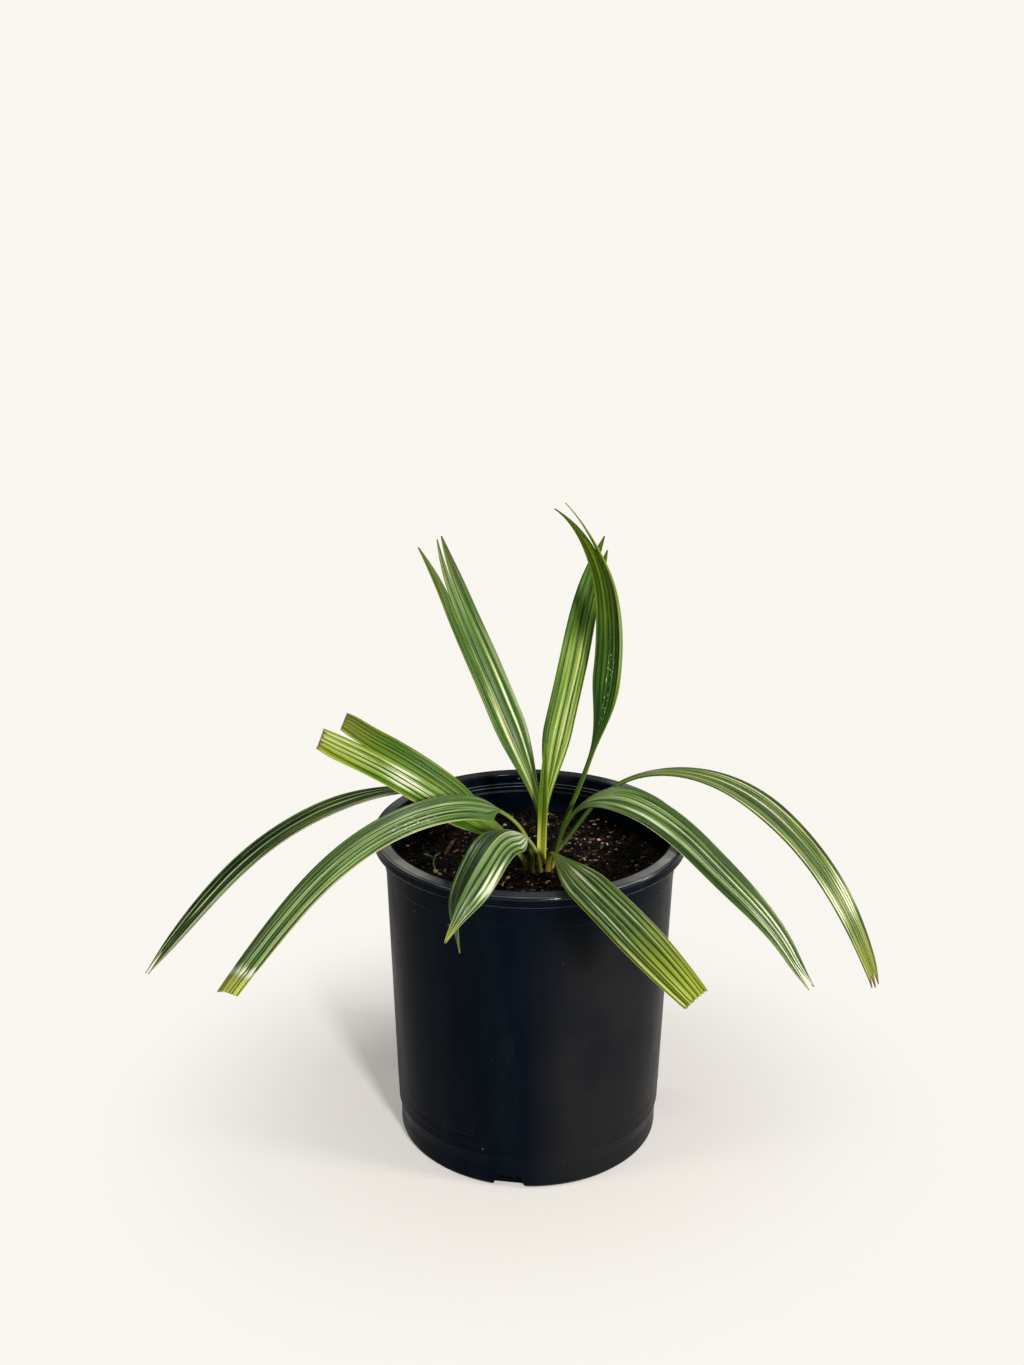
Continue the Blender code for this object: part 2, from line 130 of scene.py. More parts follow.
# root is the leaf's place from the stem's middle. Pitch, heading and roll are read from the root
# to the tip, lengths and half widths are in mm, and widen and narrow are shares of the length. A
# tip is (from, to, share, lean, lift): its edges across the blade, from -1 to 1, its length beyond
# the split as a share of the rest, and how far it leans sideways and lifts, in degrees. ragged is
# how far a cut end is notched, in mm.
SPEAR = "spear_leaf"
POINTED = 0.12
CUT = 0.96
WHOLE = ((-1, 1, 1.0, 0, 0),)
LEAVES = {
    "leaf_upright_left": dict(
        root=(0.2, 6.3), length=183, pitch=(105, 77, 63, 62, 61, 76), heading=(147, 144),
        roll=(-13, -14, -12), widen=(0.13, 0.44), half_width=10.6, narrow=(0.59, 0.76), fold=10, split=0.8,
        tips=((-1, -0.25, 1.01, 2, -1), (-0.25, 0.25, 0.98, -1, 0), (0.25, 1, 0.94, 10.5, -3))),
    "leaf_upright_right": dict(
        root=(2.2, 10.2), length=174, pitch=(89, 79, 69, 66, 69, 42), heading=(59, 55), roll=(-2, -6, -4),
        widen=(0.15, 0.41), half_width=9.4, narrow=(0.61, 0.52), fold=10, split=0.85,
        tips=((-1, 0, 0.85, 3, -1), (0, 1, 1.12, 2, 4))),
    "leaf_tall_curled": dict(
        root=(8.1, 1.1), length=211, pitch=(83, 67, 71, 83, 106, 156), heading=(17, 28, 31),
        roll=(21, 13, 2), widen=(0.29, 0.51), half_width=10.2, narrow=(0.57, 0.35), fold=11, split=0.8,
        tips=((-1, -0.25, 0.96, -2, -11), (-0.25, 1, 0.98, 1, -5))),
    "leaf_split_left": dict(
        root=(-6.5, -5), length=136, pitch=(75, 42, 39, 35, 28, 16), heading=(178, 177),
        roll=(-1, -15, -16), widen=(0.06, 0.42), half_width=19, narrow=(0.9, 0.88), fold=-3, end=CUT,
        ragged=0.5, split=0.75, tips=((-1, 0, 0.67, -3, 5), (0, 1, 0.91, -4, 0))),
    "leaf_arching_far_left": dict(
        root=(-6.8, 4.6), length=264, pitch=(61, 31, -6, -28, -47, -51), heading=(165, 181, 186),
        roll=(17, -5, -21), widen=(0.15, 0.48), half_width=10.8, narrow=(0.66, 0.16), fold=8, split=0.9,
        tips=((-1, -0.5, 1.02, 1, 0), (-0.5, 1, 0.97, 1, -1))),
    "leaf_arching_left": dict(
        root=(-3.1, -7.6), length=226, pitch=(94, 48, 10, -16, -35, -35), heading=(206, 211, 231),
        roll=(-22, -4, 23), widen=(0.2, 0.25), half_width=12.5, narrow=(0.81, 0.96), fold=-11, end=CUT,
        ragged=0.8, split=1, tips=WHOLE),
    "leaf_split_front": dict(
        root=(1.1, -8.1), length=159, pitch=(81, 47, 26, -13, -16, -48), heading=(237, 247, 246),
        roll=(-21, -8, 48), widen=(0.18, 0.33), half_width=12.8, narrow=(0.65, 0.67), fold=-30, split=0.6,
        tips=((-1, 0, 0.82, 12.9, -6), (0, 1, 0.78, 2, 0))),
    "leaf_front_right": dict(
        root=(5, -6.5), length=196, pitch=(68, 22, 12, 4, -7, -19), heading=(-87, -55), roll=(-5, 19, 39),
        widen=(0.15, 0.5), half_width=9.7, narrow=(0.71, 0.67), fold=-6, end=CUT, ragged=1.6, split=1,
        tips=WHOLE),
    "leaf_arching_right": dict(
        root=(7.6, -3.1), length=202, pitch=(83, 61, -3, -37, -42, -66), heading=(-17, -24),
        roll=(4, 14, 0), widen=(0.15, 0.33), half_width=11.8, narrow=(0.61, 0.37), fold=11, split=0.9,
        tips=((-1, 0, 0.97, 5, 4), (0, 1, 1.01, 7, 7))),
    "leaf_arching_far_right": dict(
        root=(5.5, 6.1), length=258, pitch=(53, 54, 14, -29, -56, -72), heading=(-7, -16),
        roll=(26, 24, 25), widen=(0.24, 0.59), half_width=8.9, narrow=(0.72, 0.42), fold=1, split=0.95,
        tips=((-1, -0.5, 0.9, -3, -2), (-0.5, 0.25, 0.98, -2, 0), (0.25, 1, 0.96, 0, 0))),
    SPEAR: dict(
        root=(1.4, -0.2), length=70, pitch=(89, 88), heading=(0, 0), roll=(90, 90), widen=(0, 0.08),
        half_width=3.2, narrow=(0.45, 0.25), fold=40, end=CUT, split=1, tips=WHOLE),
}

# Each leaf's marks. Colours are linear, in thousandths. Each leaf's colours were also scaled for how
# it is lit, so they carry painted light and shade. The rest is in percent, from -100 to 100 across
# the blade and from 0 to 100 along it. folds are the valleys, darkened as painted shade in the
# creases, and ridge_highlights are thin pale ridges painted as highlights, as (place, strength).
# bands are the tone between them, as (place, tone): 0 is dark, 35 green, 70 pale and 100 white.
# fade is their strength at the foot and the tip, and they come up along opening, or else where the
# leaf widens. shade is painted shade that darkens, and painted light where its amounts are below
# zero, as (from, to, amount at from, amount at to). end is the dry end, as (from, to, strength), and
# dry its colour. The leaf is dead beyond brown. painted_highlight is a light patch painted as a
# highlight, as (from, full, to, strength) and at times its sides, and sparkle a patch of dots
# painted as glints, as (from, to) and its sides. Sides count from 0 to 100 across the blade. stalk
# and rim colour the petiole and the blade's edge.
STALK = ((100, 160, 10), (330, 370, 45))
DARK_STALK = ((18, 50, 4), (80, 130, 15))
LOOKS = {
    "leaf_upright_left": dict(
        dark=(18, 48, 9), green=(58, 130, 19), pale=(380, 440, 190), rim=(200, 200, 40),
        folds=(-75, -6, 45, 80), ridge_highlights=((-95, 60), (-52, 100), (33, 90), (88, 100)),
        bands=((-100, 35), (-75, 30), (-62, 50), (-45, 60), (-38, 25), (-10, 20), (0, 50), (30, 70),
               (42, 50), (50, 22), (80, 30), (100, 20)), fade=(145, 0), end=(74, 100, 70),
        dry=(85, 100, 12), brown=99.2),
    "leaf_upright_right": dict(
        dark=(22, 66, 6), green=(110, 215, 24), pale=(490, 590, 170), rim=(240, 250, 50),
        folds=(-90, -38, 13, 68), ridge_highlights=((-97, 80), (-60, 75), (-10, 85), (60, 95)),
        bands=((-100, 20), (-85, 35), (-75, 60), (-45, 62), (-38, 40), (-28, 70), (0, 70), (8, 30),
               (20, 35), (30, 55), (50, 50), (62, 35), (75, 22), (100, 20)), fade=(110, 30),
        # Painted shadow: shade darkens this leaf's upper part where leaf_tall_curled casts its shadow.
        shade=(64, 76, 0, 35), end=(95, 100, 50), dry=(170, 190, 30), brown=99.5),
    "leaf_tall_curled": dict(
        dark=(10, 34, 6), green=(46, 118, 10), pale=(210, 320, 25), rim=(200, 220, 20), stalk=DARK_STALK,
        folds=(-62, -33, -2, 26, 55, 85),
        ridge_highlights=((-80, 30), (-50, 55), (-15, 55), (12, 55), (40, 55), (70, 50)),
        bands=((-100, 60), (-86, 58), (-74, 38), (-62, 15), (100, 10)), shade=(52, 38, 0, 22),
        sparkle=(34, 62, 32, 62), end=(50, 88, 85), dry=(120, 200, 1), brown=98.5),
    "leaf_split_left": dict(
        dark=(14, 48, 2), green=(62, 150, 5), pale=(210, 300, 50), rim=(300, 310, 40),
        folds=(-88, -68, -52, -36, -12, 20, 42, 60, 80),
        ridge_highlights=((-93, 50), (-45, 50), (-25, 50), (4, 70), (32, 60), (50, 60), (70, 60)),
        bands=((-100, 35), (-5, 25), (0, 60), (30, 66), (55, 62), (75, 45), (85, 35), (100, 60)),
        opening=(20, 50), painted_highlight=(50, 62, 74, 34, 50, 97), end=(66, 98, 80), dry=(210, 250, 12), brown=98.8),
    "leaf_arching_far_left": dict(
        dark=(8, 20, 6), green=(50, 108, 21), pale=(370, 440, 200), rim=(500, 480, 260),
        folds=(-72, -50, -5, 34, 80),
        ridge_highlights=((-96, 90), (-62, 120), (-20, 120), (15, 80), (43, 100), (75, 60)),
        bands=((-100, 70), (-93, 60), (-87, 14), (-50, 16), (-30, 24), (-10, 18), (20, 24), (40, 34),
               (60, 46), (85, 42), (100, 35)), fade=(60, 210), opening=(20, 40), end=(94, 99, 40),
        dry=(300, 340, 80), brown=99.7),
    "leaf_arching_left": dict(
        dark=(16, 44, 9), green=(80, 160, 34), pale=(320, 410, 160), rim=(520, 500, 220),
        folds=(-98, -62, -31, 4, 30, 50, 81),
        ridge_highlights=((-90, 90), (-52, 60), (-22, 90), (12, 120), (38, 60), (59, 110), (92, 80)),
        bands=((-100, 33), (-85, 38), (-40, 33), (-28, 45), (-5, 50), (5, 34), (15, 40), (45, 32), (55, 48),
               (72, 45), (80, 38), (100, 40)), fade=(130, 160), opening=(25, 36),
        painted_highlight=(92.5, 94.5, 96.5, 70), sparkle=(36, 52, 55, 92), end=(94.5, 97.5, 90), dry=(370, 410, 50),
        brown=99.9),
    "leaf_split_front": dict(
        dark=(12, 32, 8), green=(78, 150, 34), pale=(250, 330, 130),
        folds=(-78, -58, -40, -20, -4, 24, 50, 70, 90),
        ridge_highlights=((-87, 75), (-68, 75), (-50, 75), (-30, 75), (-12, 60), (2, 50), (14, 40), (36, 40), (60, 45),
               (80, 40)),
        bands=((-100, 10), (-6, 10), (2, 40), (10, 36), (35, 36), (65, 38), (72, 34), (80, 42), (92, 35),
               # Painted light on the top bend, where shade is below zero, and a painted highlight patch.
               (100, 30)), opening=(18, 34), shade=(44, 26, 0, -34), painted_highlight=(46, 64, 80, 85, 76, 105),
        end=(88, 100, 75), dry=(420, 440, 60), brown=99),
    "leaf_front_right": dict(
        dark=(10, 30, 5), green=(55, 120, 17), pale=(190, 265, 60), rim=(340, 380, 60),
        folds=(-94, -70, -55, -36, -8, 25, 54, 78),
        ridge_highlights=((-83, 60), (-45, 50), (-27, 40), (6, 50), (44, 80), (64, 40), (88, 50)),
        bands=((-100, 30), (-80, 40), (-60, 33), (-40, 36), (-20, 33), (0, 40), (15, 38), (25, 30),
               (50, 38), (80, 33), (100, 42)), fade=(140, 130), painted_highlight=(30, 42, 60, 30), end=(70, 97, 85),
        dry=(260, 320, 30), brown=99.8),
    "leaf_arching_right": dict(
        dark=(10, 28, 6), green=(38, 80, 16), pale=(180, 245, 85), rim=(420, 400, 150), stalk=DARK_STALK,
        folds=(-87, -60, -42, 13, 42, 66), ridge_highlights=((-34, 90), (2, 90), (26, 60), (58, 90), (97, 90)),
        bands=((-100, 36), (-80, 30), (-42, 28), (-30, 54), (0, 54), (8, 26), (20, 32), (30, 50), (52, 52),
               (62, 30), (70, 22), (88, 24), (93, 50), (100, 70)), fade=(65, 135), opening=(25, 42),
        shade=(60, 35, 0, -10), painted_highlight=(68, 78, 105, 14), end=(94, 99, 40), dry=(400, 400, 160), brown=99.7),
    "leaf_arching_far_right": dict(
        dark=(14, 30, 7), green=(70, 114, 30), pale=(300, 345, 130), rim=(110, 100, 30), stalk=DARK_STALK,
        folds=(-93, -72, -31, -5, 19, 40, 61, 85), ridge_highlights=((-86, 80), (-39, 90), (11, 90), (69, 90)),
        bands=((-100, 20), (-90, 38), (-75, 46), (55, 51), (65, 43), (80, 30), (100, 20)), fade=(90, 110),
        painted_highlight=(70, 80, 87, 48), end=(84, 94, 80), dry=(125, 155, 10), brown=97.5),
    SPEAR: dict(
        dark=(20, 66, 4), green=(70, 140, 10), pale=(220, 280, 40), folds=(-140, 0, 140),
        ridge_highlights=((-90, 30), (90, 20)),
        bands=((-100, 45), (-50, 30), (0, 20), (8, 45), (50, 50), (80, 45), (100, 70)), fade=(100, 80),
        end=(50, 10, 100), dry=(450, 450, 60), brown=110),
}
LOOK_COLOURS = ("dark", "green", "pale", "rim", "stalk", "dry")

# Leaf skins. Widths are in mm. Each grain is a noise: its patches' width and length, and its detail.
GREEN_TONE = 0.35
PALE_TONE = 0.7
STRIPE_HALF_WIDTH = 0.6
GRAINS = {"wander": (5, 40, 2), "streaks": (2, 110, 2), "fine": (1.2, 80, 1),
          "patches": (9, 24, 2), "flecks": (0.8, 3, 1), "ripples": (2, 14, 2),
          "breaks": (2, 50, 2), "sparkle": (0.8, 2.6, 1)}
GRAIN_ROUGHNESS = 0.6
SEED_STEP = 7.0
WANDER = 0.05
FRAY = 0.08
STREAK_TONE = 0.17
FINE_TONE = 0.1
FLECK_TONE = 0.03
RIDGE_HIGHLIGHT_TONE = (0.16, 0.36)
FOLD_PAINTED_SHADE = (0.45, 0.95)
LEAF_ROUGHNESS = (0.28, 0.42)
LEAF_SPECULAR = 0.09
WHITE = (0.72, 0.74, 0.56)
FRESH_GREEN = (0.13, 0.23, 0.02)
ROOT_STRAW = (0.3, 0.23, 0.035)
UMBER = (0.15, 0.05, 0.01)
PAINTED_GLINT = (0.72, 0.76, 0.66)
LEAF_SPECK = (0.55, 0.6, 0.45)

# Pot skin
PLASTIC = ((0.0004, 0.002, 0.0052), (0.002, 0.004, 0.0075))
PAINTED_SHEEN = (0.0105, 0.0105, 0.012)
DUST = (0.16, 0.15, 0.14)
POT_SPECK = (0.35, 0.35, 0.33)
# Painted reflection on the rim's flat top: patchy in front, darker at the back and pale at the sides.
RIM_FRONT_REFLECTION = ((0.034, 0.039, 0.046), (0.12, 0.124, 0.11))
RIM_BACK_SHADE = (0.02, 0.021, 0.022)
RIM_SIDE_REFLECTION = (0.31, 0.305, 0.29)
RIM_MOTTLE = (0.05, 0.05, 0.05)
# Painted highlights, partly worn plastic, on the roll, the band and the step inside the lip
ROLL_HIGHLIGHT_AND_WEAR = (0.24, 0.25, 0.25)
BAND_HIGHLIGHT_AND_WEAR = (0.3, 0.31, 0.33)
STEP_HIGHLIGHT = (0.26, 0.26, 0.26)
# Edges of the band with painted highlights and worn spots, as (height, least amount)
BAND_EDGE_HIGHLIGHTS = ((BAND_EDGE, 0.24), (BAND_EDGE - BAND_STEP_HEIGHT - 0.2 * MM, 0.3))

# Soil skin and the loose bits on the soil, each kind with its dark and light colour and roughness
SOIL_TONES = ((0.35, (0.001, 0.0008, 0.0006)), (0.52, (0.004, 0.003, 0.0022)),
              (0.64, (0.02, 0.013, 0.009)), (0.76, (0.11, 0.066, 0.045)))
SOIL_CLOD = (0.07, 0.034, 0.022)
CRUMBS = {
    "stem_fibre": ((0.012, 0.007, 0.004), (0.16, 0.09, 0.04), 0.85),
    "soil_crumb": ((0.0012, 0.0009, 0.0007), (0.1, 0.062, 0.043), 0.85),
    "bark": ((0.012, 0.006, 0.004), (0.7, 0.44, 0.32), 0.85),
    "fibre": ((0.16, 0.1, 0.055), (0.56, 0.42, 0.25), 0.85),
    "grit": ((0.45, 0.43, 0.38), (0.8, 0.78, 0.72), 0.6),
    "twig_bark": ((0.1, 0.045, 0.025), (0.28, 0.15, 0.09), 0.85),
    "white_bit": ((0.5, 0.47, 0.4), (0.85, 0.82, 0.74), 0.5),
    "yellow_bit": ((0.3, 0.17, 0.05), (0.62, 0.42, 0.16), 0.6),
    "seed_husk": ((0.45, 0.38, 0.18), (0.75, 0.68, 0.42), 0.5),
    "sprout_green": ((0.26, 0.36, 0.14), (0.55, 0.62, 0.42), 0.5),
}

# Bits are strewn, as (kind, seed, count, sizes in mm, shape), or placed, as (kind, seed, places), a
# place being (x, y, size) in mm. Stalks run through (x, y, height above the soil, radius) in mm.
LITTER_MARGIN = 2.2 * MM
STREWN = {
    "soil_crumbs": ("soil_crumb", 21, 2600, (0.45, 1.25), {}),
    "bark_bits": ("bark", 22, 430, (0.4, 1.5), dict(stretch=(1, 2.4), flat=0.5)),
    "tan_fibres": ("fibre", 23, 150, (0.25, 0.5), dict(stretch=(3, 8), flat=0.6, sink=0.2)),
    "grit": ("grit", 24, 46, (0.35, 0.6), dict(sink=0.2)),
}
PLACED = {
    # The last three white bits, by the pot's wall, stand for glints there: painted highlights made as bits.
    "white_bits": ("white_bit", 31, (
        (-10.2, 62.5, 1.5), (-13.5, 54.1, 1.2), (4.9, 35.5, 1.2), (3, 36.5, 0.9), (-0.2, 35.4, 0.8),
        (-33, 44, 0.6), (22, 30, 0.6), (38.8, 61.2, 0.9), (43.4, 57.9, 0.7), (48.2, 54, 0.6))),
    "yellow_bits": ("yellow_bit", 32, (
        (57.1, 1.6, 1.4), (55, 4.6, 1), (26.8, 51.8, 1.5), (38.5, 50.5, 1.1), (47, 22, 1),
        (-51, 9, 0.8), (0.6, -6.3, 1.1))),
    "seed_grain": ("seed_husk", 33, ((-50, -8, 1.9), (-47.6, -10.2, 1.1))),
}
LUMP_SHAPE = (1.0, 0.8, 0.6)
TWIG = ((-45.5, 12, 0.8, 0.5), (-44, 18, 1.6, 1.1), (-42, 25, 2, 1), (-40.5, 31, 1.4, 0.5))
SPROUT = {
    "sprout_stem": ((-49.8, -6.5, 0.5, 0.45), (-51, -2.5, 2.2, 0.5), (-51, 1, 4, 0.4)),
    "sprout_leaf_left": ((-51, 1, 4, 0.4), (-54, 2.5, 5, 0.9), (-57, 3, 4.6, 0.2)),
    "sprout_leaf_right": ((-51, 1, 4, 0.4), (-49, 4, 5.2, 0.8), (-47.8, 6.5, 5, 0.2)),
}
STALK_SIDES = 7

# Camera, from the outline of the pot in a 1024 x 1365 picture
PICTURE_HEIGHT = 1365
FOCAL_PIXELS = 1787.26
SENSOR_HEIGHT = 36.0
CAMERA_PLACE = (-9.88 * MM, -862.5 * MM, 563.42 * MM)
CAMERA_PITCH = 19.594
CAMERA_ROLL = 0.241
VIEW_REACH = 50.0

# Floor, sky and lights. A light is (name, azimuth, elevation, distance, size, power, colour), and
# the glint lights make the skins shine without lighting them.
FLOOR_RADIUS = 12.0
FLOOR_COLOUR = (0.949, 0.925, 0.875)
FLOOR_PAINT = (0.95, 0.92, 0.88)
FLOOR_SHADOW = 0.76
FLOOR_REACH = (0.085, 0.25)
WORLD_LIGHT = (1.0, 0.99, 0.96)
WORLD_STRENGTH = 0.22
LIGHT_TARGET = (0.0, 0.0, 0.16)
LIGHTS = (("key", 20, 20, 2.4, 0.26, 60, (1, 0.98, 0.94)),
          ("right", 70, 40, 2.4, 0.4, 16, (1, 0.99, 0.96)),
          ("left", -66, 40, 2.4, 0.6, 9, (1, 0.99, 0.96)),
          ("glint_right", 132, 38, 1.3, 0.1, 2.5, (1, 1, 1)),
          ("glint_left", -164, 49, 1.3, 0.1, 8, (1, 1, 1)),
          ("glint_side", 88, 16, 1.3, 0.14, 5, (1, 1, 1)))


class Wire:
    """An output of a node. Wires are added, subtracted and multiplied as numbers are."""

    def __init__(self, graph, socket):
        self.graph, self.socket = graph, socket

    def math(self, operation, *others):
        return self.graph.node("Math", 0, (self, *others), operation=operation)

    def __add__(self, other):
        return self.math("ADD", other)

    def __sub__(self, other):
        return self.math("SUBTRACT", other)

    def __mul__(self, other):
        return self.math("MULTIPLY", other)

    def __abs__(self):
        return self.math("ABSOLUTE")

    def span(self, low, high, to_low=0.0, to_high=1.0, kind="SMOOTHSTEP"):
        """to_low at low and beyond it, to_high at high and beyond it, and a change between."""
        sockets = (self, low, high, to_low, to_high)
        return self.graph.node("MapRange", "Result", sockets, interpolation_type=kind)

    def window(self, start, full, fade, stop, strength=1.0):
        """A rise from start to full, and a fall from fade to stop."""
        return self.span(start, full) * self.span(stop, fade, 0.0, strength)


class Graph:
    """A short way to write the nodes of a material or world."""

    def __init__(self, owner):
        self.owner = owner
        owner.use_nodes = True
        self.tree = owner.node_tree

    def put(self, socket, value):
        if isinstance(value, Wire):
            self.tree.links.new(value.socket, socket)
        else:
            socket.default_value = (*value, 1.0) if socket.type == "RGBA" else value

    def node(self, kind, output, sockets=(), **settings):
        """An output of a new node. Sockets are its first ones in turn, or others by name."""
        made = self.tree.nodes.new("ShaderNode" + kind)
        for key, value in settings.items():
            setattr(made, key, value)
        for key, value in sockets.items() if isinstance(sockets, dict) else enumerate(sockets):
            self.put(made.inputs[key], value)
        return Wire(self, made.outputs[output])

    def noise(self, vector, scale, detail=2.0, roughness=0.5):
        sockets = {"Vector": vector, "Scale": scale, "Detail": detail, "Roughness": roughness}
        return self.node("TexNoise", "Fac", sockets)

    def cells(self, vector, scale, output="Color"):
        return self.node("TexVoronoi", output, {"Vector": vector, "Scale": scale})

    def place(self):
        return self.node("TexCoord", "Object")

    def camera_ray(self):
        return self.node("LightPath", "Is Camera Ray")

    def vector(self, *parts):
        return self.node("CombineXYZ", 0, parts)

    def parts(self, vector):
        """The x, y and z of a vector, or of a colour."""
        split = self.node("SeparateXYZ", 0, (vector,)).socket.node
        return [Wire(self, socket) for socket in split.outputs]

    def length(self, vector):
        return self.node("VectorMath", "Value", (vector,), operation="LENGTH")

    def mix(self, factor, first, second):
        sockets = {"Factor": factor, "A": first, "B": second}
        return self.node("Mix", "Result", sockets, data_type="RGBA")

    def ramp(self, factor, stops):
        ramp = self.node("ValToRGB", "Color", (factor,))
        elements = ramp.socket.node.color_ramp.elements
        while len(elements) < len(stops):
            elements.new(0.5)
        for element, (position, colour) in zip(elements, stops):
            element.position = position
            element.color = (*colour, 1.0)
        return ramp

    def bump(self, height, distance, strength):
        sockets = {"Height": height, "Distance": distance, "Strength": strength}
        self.paint({"Normal": self.node("Bump", "Normal", sockets)})

    def paint(self, sockets):
        shader = self.tree.nodes["Principled BSDF"]
        for name, value in sockets.items():
            self.put(shader.inputs[name], value)

    def shader(self, colour, roughness, specular):
        self.paint({"Base Color": colour, "Roughness": roughness, "Specular IOR Level": specular})
        return self.owner

    def show_mix(self, output, factor, first, second):
        both = self.node("MixShader", 0, (factor, first, second))
        self.put(self.tree.nodes[output].inputs["Surface"], both)


def ease(x):
    x = np.clip(x, 0.0, 1.0)
    return x * x * (3.0 - 2.0 * x)


def along(values, t):
    """A smooth curve through values at even stations, or at PITCH_STATIONS for six of them."""
    values = np.array(values, dtype=float)
    stations = np.linspace(0.0, 1.0, len(values))
    if len(values) == len(PITCH_STATIONS):
        stations = np.array(PITCH_STATIONS)
    slopes = np.gradient(values, stations)
    index = np.clip(np.searchsorted(stations, t, side="right") - 1, 0, len(stations) - 2)
    span = stations[index + 1] - stations[index]
    u = (t - stations[index]) / span
    return ((2 * u**3 - 3 * u**2 + 1) * values[index] + (u**3 - 2 * u**2 + u) * span * slopes[index]
            + (3 * u**2 - 2 * u**3) * values[index + 1] + (u**3 - u**2) * span * slopes[index + 1])


def leaf_frames(leaf, t):
    """Unit vectors along the leaf, across it and out of its upper face, at each t."""
    pitch = np.radians(along(leaf["pitch"], t))
    heading = np.radians(along(leaf["heading"], t))
    roll = np.radians(along(leaf["roll"], t))[:, None]
    forward = np.stack([np.cos(pitch) * np.cos(heading), np.cos(pitch) * np.sin(heading), np.sin(pitch)], 1)
    side = np.stack([-np.sin(heading), np.cos(heading), np.zeros_like(heading)], 1)
    normal = np.cross(forward, side)
    across = np.cos(roll) * side + np.sin(roll) * normal
    return forward, across, np.cross(forward, across)


def leaf_path(leaf, t):
    """Points down the middle of a leaf, from its root, at each t; past 1 it runs straight on."""
    middles = (np.arange(PATH_STEPS) + 0.5) / PATH_STEPS
    step = leaf["length"] * MM / PATH_STEPS
    points = np.vstack([np.zeros(3), np.cumsum(leaf_frames(leaf, middles)[0] * step, axis=0)])
    stations = np.linspace(0.0, 1.0, PATH_STEPS + 1)
    inside = np.stack([np.interp(t, stations, points[:, axis]) for axis in range(3)], 1)
    end = leaf_frames(leaf, np.ones(1))[0]
    return inside + end * (np.maximum(t - 1.0, 0.0) * leaf["length"] * MM)[:, None]


def blade_half_width(leaf, t):
    """Half width at each t, and how far the petiole has opened into the blade, from 0 to 1."""
    widen_from, widen_to = leaf["widen"]
    narrow_from, end_share = leaf["narrow"]
    opened = ease((t - widen_from) / (widen_to - widen_from))
    width = PETIOLE_HALF_WIDTH + (leaf["half_width"] * MM - PETIOLE_HALF_WIDTH) * opened
    past = np.clip((t - narrow_from) / (1.0 - narrow_from), 0.0, 1.0)
    return width * (1.0 - (1.0 - end_share) * past**2), opened


def tip_values(leaf, u):
    """The row of the tips table that each place across the blade belongs to."""
    borders = [tip[1] for tip in leaf["tips"][:-1]]
    return np.array(leaf["tips"], dtype=float)[np.searchsorted(borders, u)]


def pleat_wave(folds, u):
    """The pleats across the blade, from -1 in the folds to 1 halfway between two of them."""
    edges = np.array((folds[0] - OUTER_PLEAT, *folds, folds[-1] + OUTER_PLEAT))
    index = np.clip(np.searchsorted(edges, u, side="right") - 1, 0, len(edges) - 2)
    gap = edges[index + 1] - edges[index]
    share = np.clip((u - edges[index]) / gap, 0.0, 1.0)
    wave = 1.0 - 2.0 * np.abs(2.0 * share - 1.0) ** PLEAT_SHARPNESS
    return wave * np.minimum(gap / OUTER_PLEAT, 1.0)


def leaf_points(leaf, folds, t, u, face_u):
    """Places of the blade at t along and u across it; face_u says which tip each belongs to."""
    low, high, share, lean, lift = tip_values(leaf, face_u).T
    split = leaf["split"]
    beyond = np.maximum(t - split, 0.0)
    past = beyond / (1.0 - split) if split < 1.0 else beyond
    wave = pleat_wave(folds, u)
    ragged = leaf.get("ragged", 0.0) * (0.5 - 0.5 * wave) / leaf["length"]
    reach = t - beyond + beyond * share - ragged * ease((t - (1 - RAGGED_PART)) / RAGGED_PART)
    _, across, out = leaf_frames(leaf, np.minimum(reach, 1.0))
    width, opened = blade_half_width(leaf, t)
    middle = (low + high) / 2
    place = middle + (u - middle) * (1.0 - (1.0 - leaf.get("end", POINTED)) * past**TIP_TAPER)
    fold = radians(leaf["fold"]) * opened
    pleat = wave * PLEAT_HEIGHT
    drift = beyond * leaf["length"] * MM * past
    sideways = place * width * np.cos(fold) + drift * np.tan(np.radians(lean))
    outward = (np.abs(place) * width * np.sin(fold) + pleat * opened * (1 - past)
               + drift * np.tan(np.radians(lift)))
    return leaf_path(leaf, reach) + across * sideways[:, None] + out * outward[:, None]


def root_points(leaf, u):
    """Places across the foot of the petiole, straight down in the stem."""
    across = leaf_frames(leaf, np.zeros(1))[1][0] * (1, 1, 0)
    across /= np.linalg.norm(across)
    return across * u[:, None] * PETIOLE_HALF_WIDTH - np.array([0.0, 0.0, ROOT_DEPTH])


def shape_thickness(leaf, t, u):
    """Thickness at each place as a share of the petiole's: a rounded stalk, then a thin blade."""
    widen_from, widen_to = leaf["widen"]
    thinned = ease((t - widen_from) / (widen_to - widen_from) * THINNING)
    stalk = np.sqrt(1.0 - STALK_ROUNDNESS * u * u)
    margin = np.clip((1.0 - np.abs(u)) / MARGIN, MARGIN_SHARE, 1.0)
    blade = BLADE_THICKNESS / PETIOLE_THICKNESS * margin
    return stalk + (blade - stalk) * thinned


def split_tips(bm, leaf, row_of):
    """Part the blade between its tips, beyond the split."""
    first = round(leaf["split"] * LEAF_ROWS)
    for border in [tip[1] for tip in leaf["tips"][:-1]]:
        edges = [edge for edge in bm.edges
                 if all(abs(vert.co.x - border) < BORDER_TOLERANCE for vert in edge.verts)
                 and all(row_of(vert) >= first for vert in edge.verts)]
        bmesh.ops.split_edges(bm, edges=edges)


def make_thick(obj, shares):
    """Make a blade solid, with a share of the petiole's thickness at each vertex."""
    group = obj.vertex_groups.new(name="thickness")
    for index, share in enumerate(shares):
        group.add([index], float(share), "REPLACE")
    solidify = obj.modifiers.new("thickness", "SOLIDIFY")
    solidify.thickness = PETIOLE_THICKNESS
    solidify.offset = 0.0
    solidify.vertex_group = group.name
    apply_modifiers(obj)


